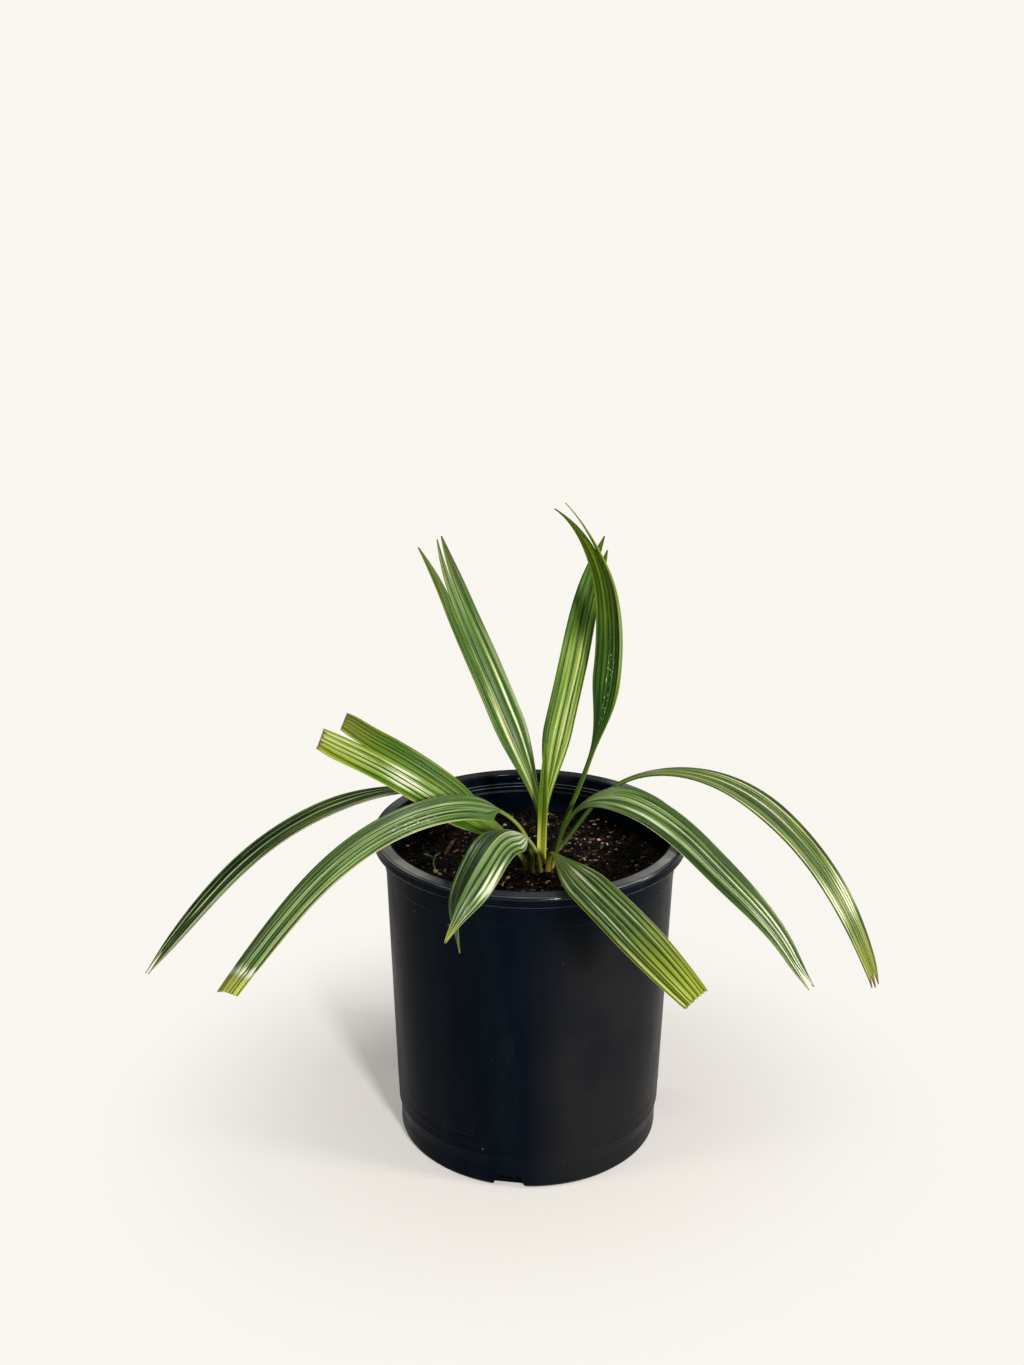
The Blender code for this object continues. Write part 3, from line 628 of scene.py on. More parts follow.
def build_leaf(name, material):
    """A pleated blade on its stalk: a grid laid along the leaf's path, then made solid."""
    leaf = LEAVES[name]
    bm = bmesh.new()
    uv_layer = bm.loops.layers.uv.new("blade")
    bmesh.ops.create_grid(bm, x_segments=LEAF_COLUMNS, y_segments=LEAF_ROWS + 1, size=1.0)

    def row_of(vert):
        return round((vert.co.y + 1) / 2 * (LEAF_ROWS + 1)) - 1

    for face in bm.faces:
        for loop in face.loops:
            loop[uv_layer].uv = ((loop.vert.co.x + 1) / 2, max(row_of(loop.vert), 0) / LEAF_ROWS)
    split_tips(bm, leaf, row_of)
    bm.verts.ensure_lookup_table()
    rows = np.array([row_of(vert) for vert in bm.verts])
    u = np.array([vert.co.x for vert in bm.verts])
    face_u = np.array([np.mean([face.calc_center_median().x for face in vert.link_faces])
                       for vert in bm.verts])
    t = np.maximum(rows, 0) / LEAF_ROWS
    blade = leaf_points(leaf, look_of(name)["folds"], t, u, face_u)
    points = np.where((rows < 0)[:, None], root_points(leaf, u), blade)
    root = np.array([*STEM_CENTRE, SOIL_LEVEL + STEM_CROWN]) + np.array([*leaf["root"], 0]) * MM
    for vert, point in zip(bm.verts, points + root):
        vert.co = point
    obj = add_object(name + "_fine", bm, material)
    make_thick(obj, shape_thickness(leaf, t, u))
    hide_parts(name)
    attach(obj, "root")


def scaled(values, unit):
    """Numbers as shares of the unit, in nested tuples too."""
    if isinstance(values, tuple):
        return tuple(scaled(value, unit) for value in values)
    return values / unit


def look_of(name):
    """A leaf's markings as shares and linear colours."""
    look = {"stalk": STALK, "fade": (100, 100), "rim": LOOKS[name]["pale"], **LOOKS[name]}
    return {part: scaled(value, 1000 if part in LOOK_COLOURS else 100) for part, value in look.items()}


class LeafSkin(Graph):
    """A leaf's material: green stripes that follow the blade, its stalk and its dry end."""

    def __init__(self, name, number):
        super().__init__(bpy.data.materials.new(name + "_skin"))
        self.leaf, self.look, self.seed = LEAVES[name], look_of(name), SEED_STEP * number
        self.x, self.t, _ = self.parts(self.node("UVMap", "UV", uv_map="blade"))
        self.across = (self.x - 0.5) * (2 * self.leaf["half_width"])
        self.along = self.t * self.leaf["length"]
        self.streaks = self.grain("streaks")
        self.patches = self.grain("patches")
        self.frayed = self.t + (self.streaks - 0.5) * FRAY
        widen_from, widen_to = self.leaf["widen"]
        self.opening = self.t.span(*self.look.get("opening", (widen_from, widen_to + 0.06)))

    def grain(self, kind):
        """Noise whose patches are stretched along the blade."""
        wide, long, detail = GRAINS[kind]
        offset = list(GRAINS).index(kind)
        place = self.vector(self.across * (1 / wide), self.along * (1 / long), self.seed + offset)
        return self.noise(place, 1.0, detail, GRAIN_ROUGHNESS)

    def stripes(self, place, stops):
        """Strength across the blade, from stops of (place, strength)."""
        return self.ramp(place, [((middle + 1) / 2, (value,) * 3) for middle, value in sorted(stops)])

    def thin_stripes(self, place, stripes):
        """Stripes of (place, strength) that fade out on both sides."""
        thin = STRIPE_HALF_WIDTH / self.leaf["half_width"]
        return self.stripes(place, [stop for middle, value in stripes
                                    for stop in ((middle - thin, 0), (middle, value), (middle + thin, 0))])


def painted_highlight_patch(g, start, full, stop, strength, left=None, right=None):
    """A painted highlight along the blade, over all its width or between left and right."""
    patch = g.frayed.window(start, full, full, stop, strength)
    return patch if left is None else patch * g.x.window(left, left + 0.06, right - 0.06, right)


def sparkle(g, start, stop, left, right):
    """Painted glints: small bright dots in one part of the blade."""
    patch = g.t.window(start, start + 0.08, stop - 0.08, stop)
    patch *= g.x.window(left, left + 0.12, right - 0.05, right)
    return patch * g.grain("sparkle").span(0.62, 0.68)


def leaf_tone(g):
    """How light each place is: its bands, painted highlights on the ridges and in a light patch, and painted
    shade along it and in the folds.
    """
    look, streaks = g.look, g.streaks
    place = g.x + (g.grain("wander") - 0.5) * WANDER
    strength = g.t.span(0.1, 0.95, *look["fade"]) * g.patches.span(0.25, 0.6, 0.75, 1.2) * g.opening
    tone = (g.stripes(place, look["bands"]) - GREEN_TONE) * strength + GREEN_TONE
    tone += streaks.span(0.36, 0.64, -STREAK_TONE, STREAK_TONE)
    tone += g.grain("fine").span(0.34, 0.66, -FINE_TONE, FINE_TONE)
    tone += (g.grain("flecks") - 0.5) * FLECK_TONE
    # Painted highlights: thin pale ridges, where the pleats catch the light.
    ridge_highlights = g.thin_stripes(place, look["ridge_highlights"])
    tone += ridge_highlights * strength * streaks.span(0.3, 0.6, *RIDGE_HIGHLIGHT_TONE)
    # Painted shade where the amounts are above zero, painted light where they are below.
    if "shade" in look:
        tone -= g.t.span(*look["shade"])
    # Painted highlight: a light patch where the leaf shines.
    if "painted_highlight" in look:
        tone += painted_highlight_patch(g, *look["painted_highlight"]) * streaks.span(0.32, 0.55, 0.4, 1.0)
    # Painted shade: the folds are darkened as if shade lay in the creases.
    folds = g.thin_stripes(place, [(fold, 1.0) for fold in look["folds"] if abs(fold) < 1.0])
    return tone - folds * g.opening * g.grain("breaks").span(0.3, 0.6, *FOLD_PAINTED_SHADE)


def shades(g, tone, dark, green, pale):
    """The colour of each tone."""
    return g.ramp(tone, ((0.0, dark), (GREEN_TONE, green), (PALE_TONE, pale), (1.0, WHITE)))


def leaf_greens(g, tone):
    """The stripes, with fresher patches, and the stalk with its straw foot."""
    look, (widen_from, widen_to) = g.look, g.leaf["widen"]
    colour = shades(g, tone, look["dark"], look["green"], look["pale"])
    colour = g.mix(g.patches.span(0.45, 0.75, 0.0, 0.25), colour, FRESH_GREEN)
    stalk = g.mix(g.streaks.span(0.35, 0.65), *look["stalk"])
    colour = g.mix(g.t.span(widen_to * 0.85, widen_from * 0.6, 0.0, 0.8), colour, stalk)
    return g.mix(g.t.span(0.06, 0.0, 0.0, 0.8), colour, ROOT_STRAW)


def leaf_marks(g, colour, tone):
    """The dry end, dead tip, painted glints, pale edge and specks over the greens."""
    look, dry = g.look, g.look["dry"]
    end_from, end_to, strength = look["end"]
    dark = tuple(0.3 * part for part in dry)
    pale = tuple(min(1.5 * part + 0.02, 0.8) for part in dry)
    dried = shades(g, tone, dark, dry, pale)
    colour = g.mix(g.frayed.span(end_from, end_to, 0.0, strength), colour, dried)
    # Painted glints: white dots where the leaf shines.
    if "sparkle" in look:
        colour = g.mix(sparkle(g, *look["sparkle"]), colour, PAINTED_GLINT)
    colour = g.mix(g.frayed.span(look["brown"], look["brown"] + 0.012, 0.0, 0.9), colour, UMBER)
    rim = abs(g.x - 0.5).span(0.48, 0.492, 0.0, 0.8) * g.opening
    colour = g.mix(rim, colour, look["rim"])
    specks = g.cells(g.vector(g.across, g.along, g.seed), 0.3, "Distance")
    return g.mix(specks.span(0.07, 0.04, 0.0, 0.4), colour, LEAF_SPECK)


def leaf_material(name, number):
    """One leaf's skin, finely ridged and waxy."""
    g = LeafSkin(name, number)
    g.bump(g.grain("ripples") * 0.8 + g.streaks * 1.2, 0.1 * MM, 0.2)
    tone = leaf_tone(g)
    roughness = (g.patches + g.streaks * 0.3).span(0.45, 0.85, *LEAF_ROUGHNESS)
    return g.shader(leaf_marks(g, leaf_greens(g, tone), tone), roughness, LEAF_SPECULAR)


def build_leaves():
    for number, name in enumerate(LEAVES, start=1):
        build_leaf(name, leaf_material(name, number))


def apply_modifiers(obj):
    depsgraph = bpy.context.evaluated_depsgraph_get()
    mesh = bpy.data.meshes.new_from_object(obj.evaluated_get(depsgraph))
    obj.modifiers.clear()
    obj.data = mesh


def link_new(name, data):
    obj = bpy.data.objects.new(name, data)
    bpy.context.scene.collection.objects.link(obj)
    return obj


def add_mesh(name, mesh, material=None):
    if material:
        mesh.materials.append(material)
    mesh.shade_smooth()
    return link_new(name, mesh)


def add_object(name, bm, material=None):
    mesh = bpy.data.meshes.new(name)
    bm.to_mesh(mesh)
    bm.free()
    return add_mesh(name, mesh, material)


def around(radius, angle):
    """The x and y of a place at a radius and an angle."""
    return radius * cos(angle), radius * sin(angle)


def wall_radius(height):
    """Outer radius of the tapered wall at a height above the foot."""
    return FOOT_RADIUS + (WALL_TOP_RADIUS - FOOT_RADIUS) * height / (POT_HEIGHT - BAND_HEIGHT)


def inner_radius(height):
    """Inner radius of the wall, which widens evenly from the floor up to the step below the lip."""
    bottom = FOOT_RADIUS - WALL_THICKNESS
    top = LIP_INNER_RADIUS - INNER_STEP_DEPTH
    return bottom + (top - bottom) * height / (POT_HEIGHT - INNER_STEP_DROP)


def pot_corners():
    """Corners of the pot's half section, each (radius, height, rounding), from floor to foot."""
    inner_step = POT_HEIGHT - INNER_STEP_DROP
    corner = FLOOR_THICKNESS + FLOOR_CORNER
    corners = [(0.0, FLOOR_THICKNESS, 0.0),
               (inner_radius(corner), FLOOR_THICKNESS, FLOOR_CORNER),
               (inner_radius(inner_step), inner_step, INNER_STEP_ROUNDING),
               (LIP_INNER_RADIUS, inner_step + INNER_STEP_DEPTH, INNER_STEP_ROUNDING),
               (LIP_INNER_RADIUS, POT_HEIGHT, LIP_ROUNDING),
               (RIM_RADIUS, POT_HEIGHT, RIM_ROUNDING)]
    band_bottom = POT_HEIGHT - BAND_HEIGHT
    band_step = RIM_RADIUS - BAND_STEP_DEPTH
    corners += [(RIM_RADIUS, BAND_EDGE, BAND_ROUNDING), (band_step, BAND_EDGE, FINE_ROUNDING),
                (band_step, band_bottom, BAND_ROUNDING),
                (wall_radius(band_bottom), band_bottom, WALL_ROUNDING)]
    shoulder = POT_HEIGHT - SHOULDER_DROP
    for height in (shoulder, *FOOT_LINES):
        corners += [(wall_radius(height), height + LINE_HALF_HEIGHT, FINE_ROUNDING),
                    (wall_radius(height) - LINE_DEPTH, height, FINE_ROUNDING)]
    foot = FOOT_RADIUS - FOOT_TUCK
    corners += [(foot, FOOT_TUCK_HEIGHT, FOOT_ROUNDING), (foot, FOOT_CHAMFER, FOOT_ROUNDING),
                (foot - FOOT_CHAMFER, 0.0, FOOT_ROUNDING / 2), (0.0, 0.0, 0.0)]
    return corners


def rounded(corners):
    """The corners joined by small arcs."""
    points = []
    for index, (radius, height, rounding) in enumerate(corners):
        here = Vector((radius, height))
        if rounding == 0.0:
            points.append(here)
            continue
        before = Vector(corners[index - 1][:2]) - here
        after = Vector(corners[index + 1][:2]) - here
        start = here + before.normalized() * min(rounding, before.length * MOST_ROUNDING)
        end = here + after.normalized() * min(rounding, after.length * MOST_ROUNDING)
        for step in range(FILLET_STEPS + 1):
            share = step / FILLET_STEPS
            points.append(start.lerp(here, share).lerp(here.lerp(end, share), share))
    return points


def notch_cutter(number):
    flare = (NOTCH_WIDTH - NOTCH_TOP_WIDTH) * NOTCH_BELOW / NOTCH_HEIGHT
    bm = bmesh.new()
    bmesh.ops.create_cube(bm, size=1.0)
    for vert in bm.verts:
        upper = vert.co.z > 0
        width = NOTCH_TOP_WIDTH if upper else NOTCH_WIDTH + flare
        vert.co.x = FOOT_RADIUS + copysign(NOTCH_REACH / 2, vert.co.x)
        vert.co.y = copysign(width / 2, vert.co.y)
        vert.co.z = NOTCH_HEIGHT if upper else -NOTCH_BELOW
    corners = [edge for edge in bm.edges
               if all(vert.co.z > 0 for vert in edge.verts)
               and edge.verts[0].co.y * edge.verts[1].co.y > 0]
    bmesh.ops.bevel(bm, geom=corners, offset=NOTCH_CORNER, segments=NOTCH_CORNER_STEPS, profile=0.5,
                    affect="EDGES")
    bm.transform(Matrix.Rotation(radians(NOTCH_FIRST_ANGLE + number * 360 / NOTCH_COUNT), 4, "Z"))
    return add_object(f"cut_notch_{number}", bm)


def build_pot():
    bm = bmesh.new()
    verts = [bm.verts.new((point.x, 0.0, point.y)) for point in rounded(pot_corners())]
    for start, end in zip(verts, verts[1:]):
        bm.edges.new((start, end))
    pot = add_object("pot_fine", bm, pot_material())
    screw = pot.modifiers.new("turn", "SCREW")
    screw.angle = tau
    screw.steps = POT_STEPS
    screw.render_steps = POT_STEPS
    screw.use_merge_vertices = True
    screw.merge_threshold = MERGE_DISTANCE
    cutters = [notch_cutter(number) for number in range(NOTCH_COUNT)]
    for cutter in cutters:
        boolean = pot.modifiers.new(cutter.name, "BOOLEAN")
        boolean.operation = "DIFFERENCE"
        boolean.solver = "EXACT"
        boolean.object = cutter
    apply_modifiers(pot)
    for cutter in cutters:
        bpy.data.objects.remove(cutter, do_unlink=True)
    pot.data.shade_smooth()
    pot.data.set_sharp_from_angle(angle=radians(SHARP_ANGLE))
    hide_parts("pot")
    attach(pot, "root")


def below_top(drop):
    """Height of a place so many mm below the pot's top."""
    return POT_HEIGHT - drop * MM


def inside_rim(inset):
    """Radius of a place so many mm inside the rim's edge."""
    return RIM_RADIUS - inset * MM


class PotSkin(Graph):
    """Near-black moulded plastic, mottled and dusty, with painted reflection on the rim's top, painted
    highlights with worn spots on its edges, and a painted sheen on the right.
    """

    def __init__(self):
        super().__init__(bpy.data.materials.new("pot_skin"))
        place = self.place()
        self.x, self.y, self.z = self.parts(place)
        self.radius = self.length(self.vector(self.x, self.y, 0.0))
        tall = self.node("Mapping", 0, {"Vector": place, "Scale": (1.0, 1.0, 0.25)})
        self.mottle = self.noise(tall, 60.0, 5.0, 0.6)
        self.scratch = self.noise(tall, 900.0)
        self.cloud = self.noise(place, 22.0, 3.0)
        self.specks = self.cells(place, 70.0, "Distance")
        self.dust = self.cloud.span(0.5, 0.8) * self.mottle.span(0.52, 0.72)
        self.flat = self.z.span(below_top(0.4), below_top(0.2))
        # The sides, where the painted reflection and highlights are strongest.
        self.lit_sides = abs(self.x).span(38 * MM, 66 * MM)


def pot_wall(g):
    """Blue-black plastic, with dust and specks, and a painted sheen that makes it greyer on the right."""
    colour = g.mix(g.mottle.span(0.35, 0.75), *PLASTIC)
    colour = g.mix(g.dust * 0.1, colour, DUST)
    colour = g.mix(g.specks.span(0.035, 0.015, 0.0, 0.5), colour, POT_SPECK)
    # Painted sheen: the right side of the wall is greyer, as if it caught the light.
    painted_sheen = g.x.span(-8 * MM, 30 * MM) * g.cloud.span(0.3, 0.7, 0.6, 1.2)
    return g.mix(painted_sheen * g.z.span(below_top(8), below_top(50)), colour, PAINTED_SHEEN)


def pot_rim(g, colour):
    """The rim's flat top, painted with reflection: patchy in front, dark at the back and pale at the sides.
    """
    top = g.radius.window(LIP_INNER_RADIUS + 1.0 * MM, LIP_INNER_RADIUS + 1.5 * MM,
                          inside_rim(1.8), inside_rim(1.3))
    rim_reflection = g.mix(g.cloud.span(0.46, 0.58), *RIM_FRONT_REFLECTION)
    rim_reflection = g.mix(g.y.span(-10 * MM, 10 * MM), rim_reflection, RIM_BACK_SHADE)
    rim_reflection = g.mix(g.lit_sides, rim_reflection, RIM_SIDE_REFLECTION)
    rim_reflection = g.mix(g.mottle.span(0.35, 0.65, 0.0, 0.4), rim_reflection, RIM_MOTTLE)
    return g.mix(g.flat * top, colour, rim_reflection)


def pot_edges(g, colour):
    """Painted highlights, partly worn spots, on the rim's roll and the band's edges, and a painted highlight
    on the step inside the lip.
    """
    # Painted highlight, partly worn plastic, on the rim's roll.
    roll = g.radius.window(inside_rim(1.4), inside_rim(1.0), inside_rim(0.6), inside_rim(0.2))
    roll *= g.z.span(below_top(1.2), below_top(0.8)) * g.cloud.span(0.4, 0.65, 0.2, 0.8)
    colour = g.mix(roll, colour, ROLL_HIGHLIGHT_AND_WEAR)
    # Painted highlights, partly worn plastic, along the band's edges, strongest at the sides.
    for height, least in BAND_EDGE_HIGHLIGHTS:
        line = g.z.window(*(height + offset * MM for offset in (-0.35, -0.1, 0.1, 0.35)))
        highlight_and_wear = g.lit_sides * 0.35 + g.cloud.span(0.48, 0.66, least, 0.7)
        colour = g.mix(line * highlight_and_wear, colour, BAND_HIGHLIGHT_AND_WEAR)
    # Painted highlight on the step inside the lip, mostly at the sides.
    step = POT_HEIGHT - INNER_STEP_DROP
    line = g.z.window(step - 0.3 * MM, step, step + 0.6 * MM, step + 0.9 * MM)
    line *= g.radius.span(inside_rim(6), inside_rim(7))
    return g.mix(line * (g.lit_sides * 0.75 + 0.08), colour, STEP_HIGHLIGHT)


def pot_roughness(g):
    """Satin, duller where it is dusty or flat on top, and smoother on the band and the roll."""
    satin = g.mottle.span(0.3, 0.75, 0.24, 0.4) + g.dust * 0.15
    band = g.z.span(below_top(9), below_top(7))
    return g.flat * 0.35 + satin * band.span(0.0, 1.0, 1.0, 0.6, "LINEAR")


def pot_gloss(g):
    """Strong on the rim's roll, and weak on the wall and the flat top."""
    roll = g.z.span(below_top(2.2), below_top(1.2), 0.03, 0.28)
    return roll * g.flat.span(0.0, 1.0, 1.0, 0.1, "LINEAR")


def pot_material():
    g = PotSkin()
    g.bump(g.mottle + g.scratch * 0.1, 0.25 * MM, 0.45)
    colour = pot_edges(g, pot_rim(g, pot_wall(g)))
    return g.shader(colour, pot_roughness(g), pot_gloss(g))


def soil_lumps(reach):
    """Places and sizes of the crumbs that stand out of the soil: (x, y, radius, height)."""
    draw = random.Random(LUMP_SEED)
    lumps = []
    for _ in range(LUMP_COUNT):
        place = around(reach * sqrt(draw.random()), draw.uniform(0, tau))
        lumps.append((*place, draw.uniform(*LUMP_RADIUS), draw.uniform(*LUMP_HEIGHT)))
    return lumps


SOIL_REACH = inner_radius(SOIL_LEVEL) - SOIL_GAP
SOIL_LUMPS = soil_lumps(SOIL_REACH)


def soil_height(x, y):
    """Height of the soil's surface: broad lumps, then crumbs of smaller and smaller size."""
    height = 0.0
    for lump_x, lump_y, radius, rise in SOIL_LUMPS:
        nearness = 1.0 - (hypot(x - lump_x, y - lump_y) / radius) ** 2
        height = max(height, rise * nearness)
    height -= SOIL_DIP
    for rise, layer, frequency in SOIL_NOISE:
        height += rise * noise.noise(Vector((x, y, layer)) * frequency)
    mound = 1.0 - hypot(x - STEM_CENTRE[0], y - STEM_CENTRE[1]) / (STEM_RADIUS * MOUND_REACH)
    height += MOUND_HEIGHT * max(mound, 0.0)
    return SOIL_LEVEL + height


def on_soil(x, y, lift):
    """A place in metres, from x, y and the height above the soil in mm."""
    return x * MM, y * MM, soil_height(x * MM, y * MM) + lift * MM


def build_soil():
    bm = bmesh.new()
    rings = []
    for ring in range(1, SOIL_RINGS + 1):
        radius = SOIL_REACH * ring / SOIL_RINGS
        verts = []
        for step in range(SOIL_STEPS):
            angle = tau * (step + 0.5 * (ring % 2)) / SOIL_STEPS
            x, y = around(radius, angle)
            verts.append(bm.verts.new((x, y, soil_height(x, y))))
        rings.append(verts)
    middle = bm.verts.new((0.0, 0.0, soil_height(0.0, 0.0)))
    bottom = FLOOR_THICKNESS + SOIL_GAP
    narrowed = (inner_radius(bottom) - SOIL_TAPER) / SOIL_REACH
    rings.append([bm.verts.new((vert.co.x * narrowed, vert.co.y * narrowed, bottom)) for vert in rings[-1]])
    for step in range(SOIL_STEPS):
        after = (step + 1) % SOIL_STEPS
        bm.faces.new((middle, rings[0][step], rings[0][after]))
        for inner, outer in zip(rings, rings[1:]):
            bm.faces.new((inner[step], outer[step], outer[after], inner[after]))
    bm.faces.new(list(reversed(rings[-1])))
    soil = add_object("soil_fine", bm, soil_material())
    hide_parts("soil")
    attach(soil, "root")


def soil_material():
    """Dark crumbly peat with paler grains and a few brown clods."""
    g = Graph(bpy.data.materials.new("soil_skin"))
    place = g.place()
    grain = g.noise(place, 520.0, 6.0, 0.7)
    clods, _, _ = g.parts(g.cells(place, 330.0))
    colour = g.mix(clods.span(0.8, 0.95, 0.0, 0.35), g.ramp(grain, SOIL_TONES), SOIL_CLOD)
    g.bump(grain + g.cells(place, 700.0, "Distance") * 0.6, 0.9 * MM, 0.9)
    return g.shader(colour, grain.span(0.3, 0.7, 0.95, 0.7), 0.03)


def crumb_material(kind):
    """Loose bits whose shade changes from one to the next."""
    dark, light, roughness = CRUMBS[kind]
    g = Graph(bpy.data.materials.new(kind + "_skin"))
    place = g.place()
    shade, _, _ = g.parts(g.cells(place, 300.0))
    grain = g.noise(place, 1400.0, 3.0, 0.6)
    colour = g.mix((shade * 0.7 + grain * 0.35).span(0.4, 0.95), dark, light)
    g.bump(grain, 0.4 * MM, 0.8)
    return g.shader(colour, grain.span(0.3, 0.7, roughness, roughness - 0.15), 0.04)


def unit_lump():
    bm = bmesh.new()
    bmesh.ops.create_icosphere(bm, subdivisions=1, radius=1.0)
    points = np.array([vert.co for vert in bm.verts])
    faces = np.array([[vert.index for vert in face.verts] for face in bm.faces])
    bm.free()
    return points, faces


def add_loose(name, points, faces, material):
    """A loose piece that lies on the soil."""
    mesh = bpy.data.meshes.new(name)
    mesh.from_pydata(points, [], faces)
    obj = add_mesh(name, mesh, material)
    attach(obj, "root")


def add_lumps(name, lumps, faces, material):
    """Lumps, each a list of points with the same faces, in one mesh."""
    joined = [faces + number * len(lump) for number, lump in enumerate(lumps)]
    add_loose(name, np.concatenate(lumps).tolist(), np.concatenate(joined).tolist(), material)


def scatter(name, kind, seed, count, sizes, stretch=(1.0, 1.0), flat=0.7, sink=0.3):
    """Many small lumps strewn on the soil, with sizes in mm."""
    draw = random.Random(seed)
    base, faces = unit_lump()
    smallest, largest = sizes
    lumps = []
    for _ in range(count):
        size = draw.uniform(smallest * MM, largest * MM) * (0.55 + 0.9 * draw.random() ** 3)
        distance = (SOIL_REACH - LITTER_MARGIN) * sqrt(draw.random())
        x, y = around(distance, draw.uniform(0, tau))
        length = draw.uniform(*stretch)
        scale = np.array([size * length, size * draw.uniform(0.6, 1.0), size * flat * draw.uniform(0.6, 1.0)])
        jitter = np.array([[draw.uniform(0.72, 1.25)] for _ in base])
        turn = Euler((draw.uniform(-0.5, 0.5), draw.uniform(-0.5, 0.5), draw.uniform(0, tau)))
        turned = (base * jitter * scale) @ np.array(turn.to_matrix()).T
        lumps.append(turned + (x, y, soil_height(x, y) + scale[2] * (1 - 2 * sink)))
    add_lumps(name, lumps, faces, crumb_material(kind))


def place_lumps(name, kind, seed, places):
    """Single lumps at places of (x, y, size) in mm."""
    draw = random.Random(seed)
    base, faces = unit_lump()
    lumps = []
    for x, y, size in places:
        jitter = np.array([[draw.uniform(0.8, 1.2)] for _ in base])
        scale = [size * part * MM for part in LUMP_SHAPE]
        lumps.append(base * jitter * scale + on_soil(x, y, size * 0.35))
    add_lumps(name, lumps, faces, crumb_material(kind))


def tube(name, stations, material):
    """A tapered twig or stalk through stations of (x, y, height above the soil, radius) in mm."""
    path = [Vector(on_soil(x, y, lift)) for x, y, lift, _ in stations]
    points, faces = [], []
    for index, point in enumerate(path):
        ahead = path[min(index + 1, len(path) - 1)] - path[max(index - 1, 0)]
        side = ahead.cross(Vector((0.0, 0.0, 1.0))).normalized()
        up = side.cross(ahead).normalized()
        radius = stations[index][3] * MM
        for step in range(STALK_SIDES):
            angle = tau * step / STALK_SIDES
            points.append(tuple(point + (side * cos(angle) + up * sin(angle)) * radius))
    for low in range(0, len(points) - STALK_SIDES, STALK_SIDES):
        for step in range(STALK_SIDES):
            after = (step + 1) % STALK_SIDES
            faces.append([low + step, low + after, low + STALK_SIDES + after, low + STALK_SIDES + step])
    faces.append(list(reversed(range(STALK_SIDES))))
    faces.append(list(range(len(points) - STALK_SIDES, len(points))))
    add_loose(name, points, faces, material)


def build_stem():
    """The low crown of the stem among the petioles: a fibrous mound, level with the soil."""
    bm = bmesh.new()
    bmesh.ops.create_grid(bm, x_segments=STEM_GRID, y_segments=STEM_GRID, size=1.0)
    for vert in bm.verts:
        x, y = vert.co.x, vert.co.y
        radius = max(abs(x), abs(y))
        angle = atan2(y, x)
        x, y = around(radius * STEM_RADIUS, angle)
        rise = STEM_DOME * (1 - radius**2) + STEM_ROUGHNESS * noise.noise(Vector((x, y, 0.4)) * 380)
        sway = 8 * noise.noise(Vector((x, y, 0.0)) * 90)
        rise += FIBRE_HEIGHT * sin(angle * FIBRE_COUNT + sway) * radius
        drop = STEM_EDGE_DROP * max(radius - (1 - STEM_EDGE), 0) / STEM_EDGE
        vert.co = (STEM_CENTRE[0] + x, STEM_CENTRE[1] + y, SOIL_LEVEL + rise - drop)
    below = bmesh.ops.extrude_face_region(bm, geom=bm.faces[:])
    for item in below["geom"]:
        if isinstance(item, bmesh.types.BMVert):
            item.co.z -= STEM_DEPTH
    bmesh.ops.recalc_face_normals(bm, faces=bm.faces[:])
    stem = add_object("stem_base_fine", bm, crumb_material("stem_fibre"))
    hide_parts("stem_base")
    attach(stem, "root")


def build_litter():
    for name, (kind, seed, count, sizes, shape) in STREWN.items():
        scatter(name, kind, seed, count, sizes, **shape)
    tube("twig", TWIG, crumb_material("twig_bark"))
    for name, (kind, seed, places) in PLACED.items():
        place_lumps(name, kind, seed, places)
    green = crumb_material("sprout_green")
    for name, stations in SPROUT.items():
        tube(name, stations, green)


def build_stage():
    """A wide floor. Far off, the camera sees its even pale glow; near the pot it takes shadows."""
    bm = bmesh.new()
    bmesh.ops.create_circle(bm, cap_ends=True, segments=96, radius=FLOOR_RADIUS)
    g = Graph(bpy.data.materials.new("floor_paint"))
    far = g.length(g.place()).span(*FLOOR_REACH, 1.0 - FLOOR_SHADOW, 1.0)
    paint = Wire(g, g.tree.nodes["Principled BSDF"].outputs[0])
    glow = g.node("Emission", 0, (FLOOR_COLOUR,))
    g.show_mix("Material Output", far * g.camera_ray(), paint, glow)
    add_object("floor", bm, g.shader(FLOOR_PAINT, 0.9, 0.0))


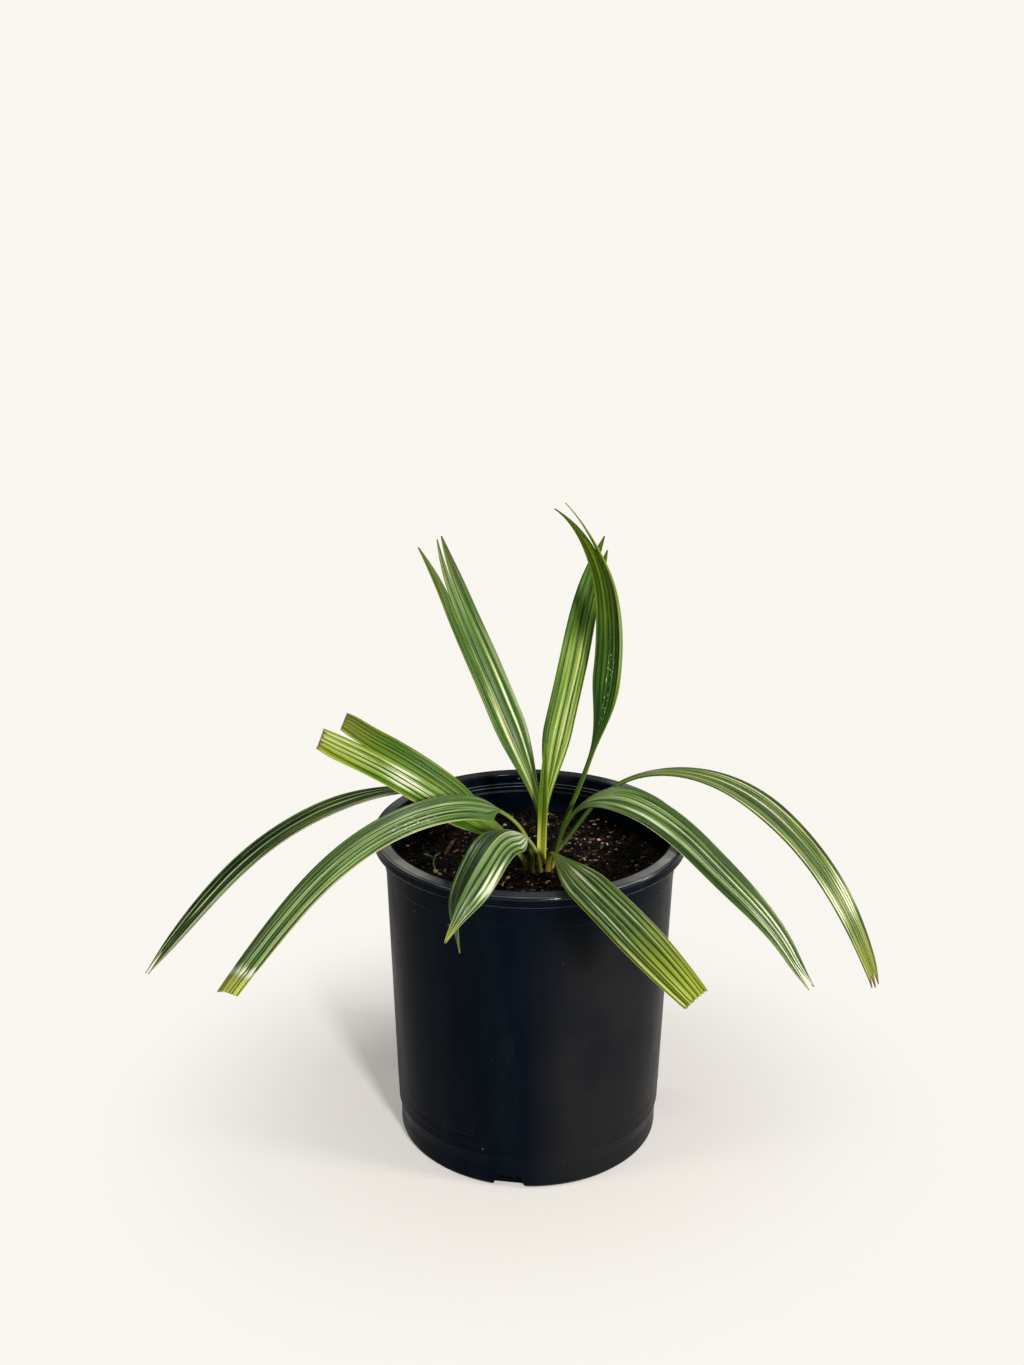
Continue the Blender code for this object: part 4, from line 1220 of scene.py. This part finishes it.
def build_world():
    """The camera sees the floor's own pale colour; the plant is lit by a dimmer, even sky."""
    bpy.context.scene.world = bpy.data.worlds.new("studio")
    g = Graph(bpy.context.scene.world)
    seen = g.node("Background", 0, (FLOOR_COLOUR,))
    sky = g.node("Background", 0, (WORLD_LIGHT, WORLD_STRENGTH))
    g.show_mix("World Output", g.camera_ray(), sky, seen)


def add_light(name, azimuth, elevation, distance, size, power, colour):
    """A soft square panel that faces the plant. Azimuth 0 is the camera's side and 90 is the right."""
    data = bpy.data.lights.new(name, "AREA")
    data.size = size
    data.energy = power
    data.color = colour
    light = link_new(name, data)
    turn, rise = radians(azimuth), radians(elevation)
    towards = Vector((sin(turn) * cos(rise), -cos(turn) * cos(rise), sin(rise)))
    light.location = Vector(LIGHT_TARGET) + towards * distance
    light.rotation_euler = towards.to_track_quat("Z", "Y").to_euler()
    light.visible_diffuse = not name.startswith("glint")


def build_camera():
    data = bpy.data.cameras.new("camera")
    data.sensor_fit = "VERTICAL"
    data.sensor_height = SENSOR_HEIGHT
    data.lens = FOCAL_PIXELS / PICTURE_HEIGHT * SENSOR_HEIGHT
    data.clip_end = VIEW_REACH
    camera = link_new("camera", data)
    tilt = Matrix.Rotation(radians(90 - CAMERA_PITCH), 4, "X")
    roll = Matrix.Rotation(radians(CAMERA_ROLL), 4, "Z")
    camera.matrix_world = Matrix.Translation(CAMERA_PLACE) @ tilt @ roll
    bpy.context.scene.camera = camera


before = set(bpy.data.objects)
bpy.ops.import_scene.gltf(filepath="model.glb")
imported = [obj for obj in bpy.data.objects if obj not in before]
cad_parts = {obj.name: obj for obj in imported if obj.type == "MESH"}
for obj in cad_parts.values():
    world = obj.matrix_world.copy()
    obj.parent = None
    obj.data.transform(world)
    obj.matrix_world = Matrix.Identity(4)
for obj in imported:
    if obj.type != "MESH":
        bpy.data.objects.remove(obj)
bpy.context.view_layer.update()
bpy.context.scene.view_settings.view_transform = "Standard"
build_pot()
build_soil()
build_stem()
build_litter()
build_leaves()
build_stage()
build_world()
for light in LIGHTS:
    add_light(*light)
build_camera()
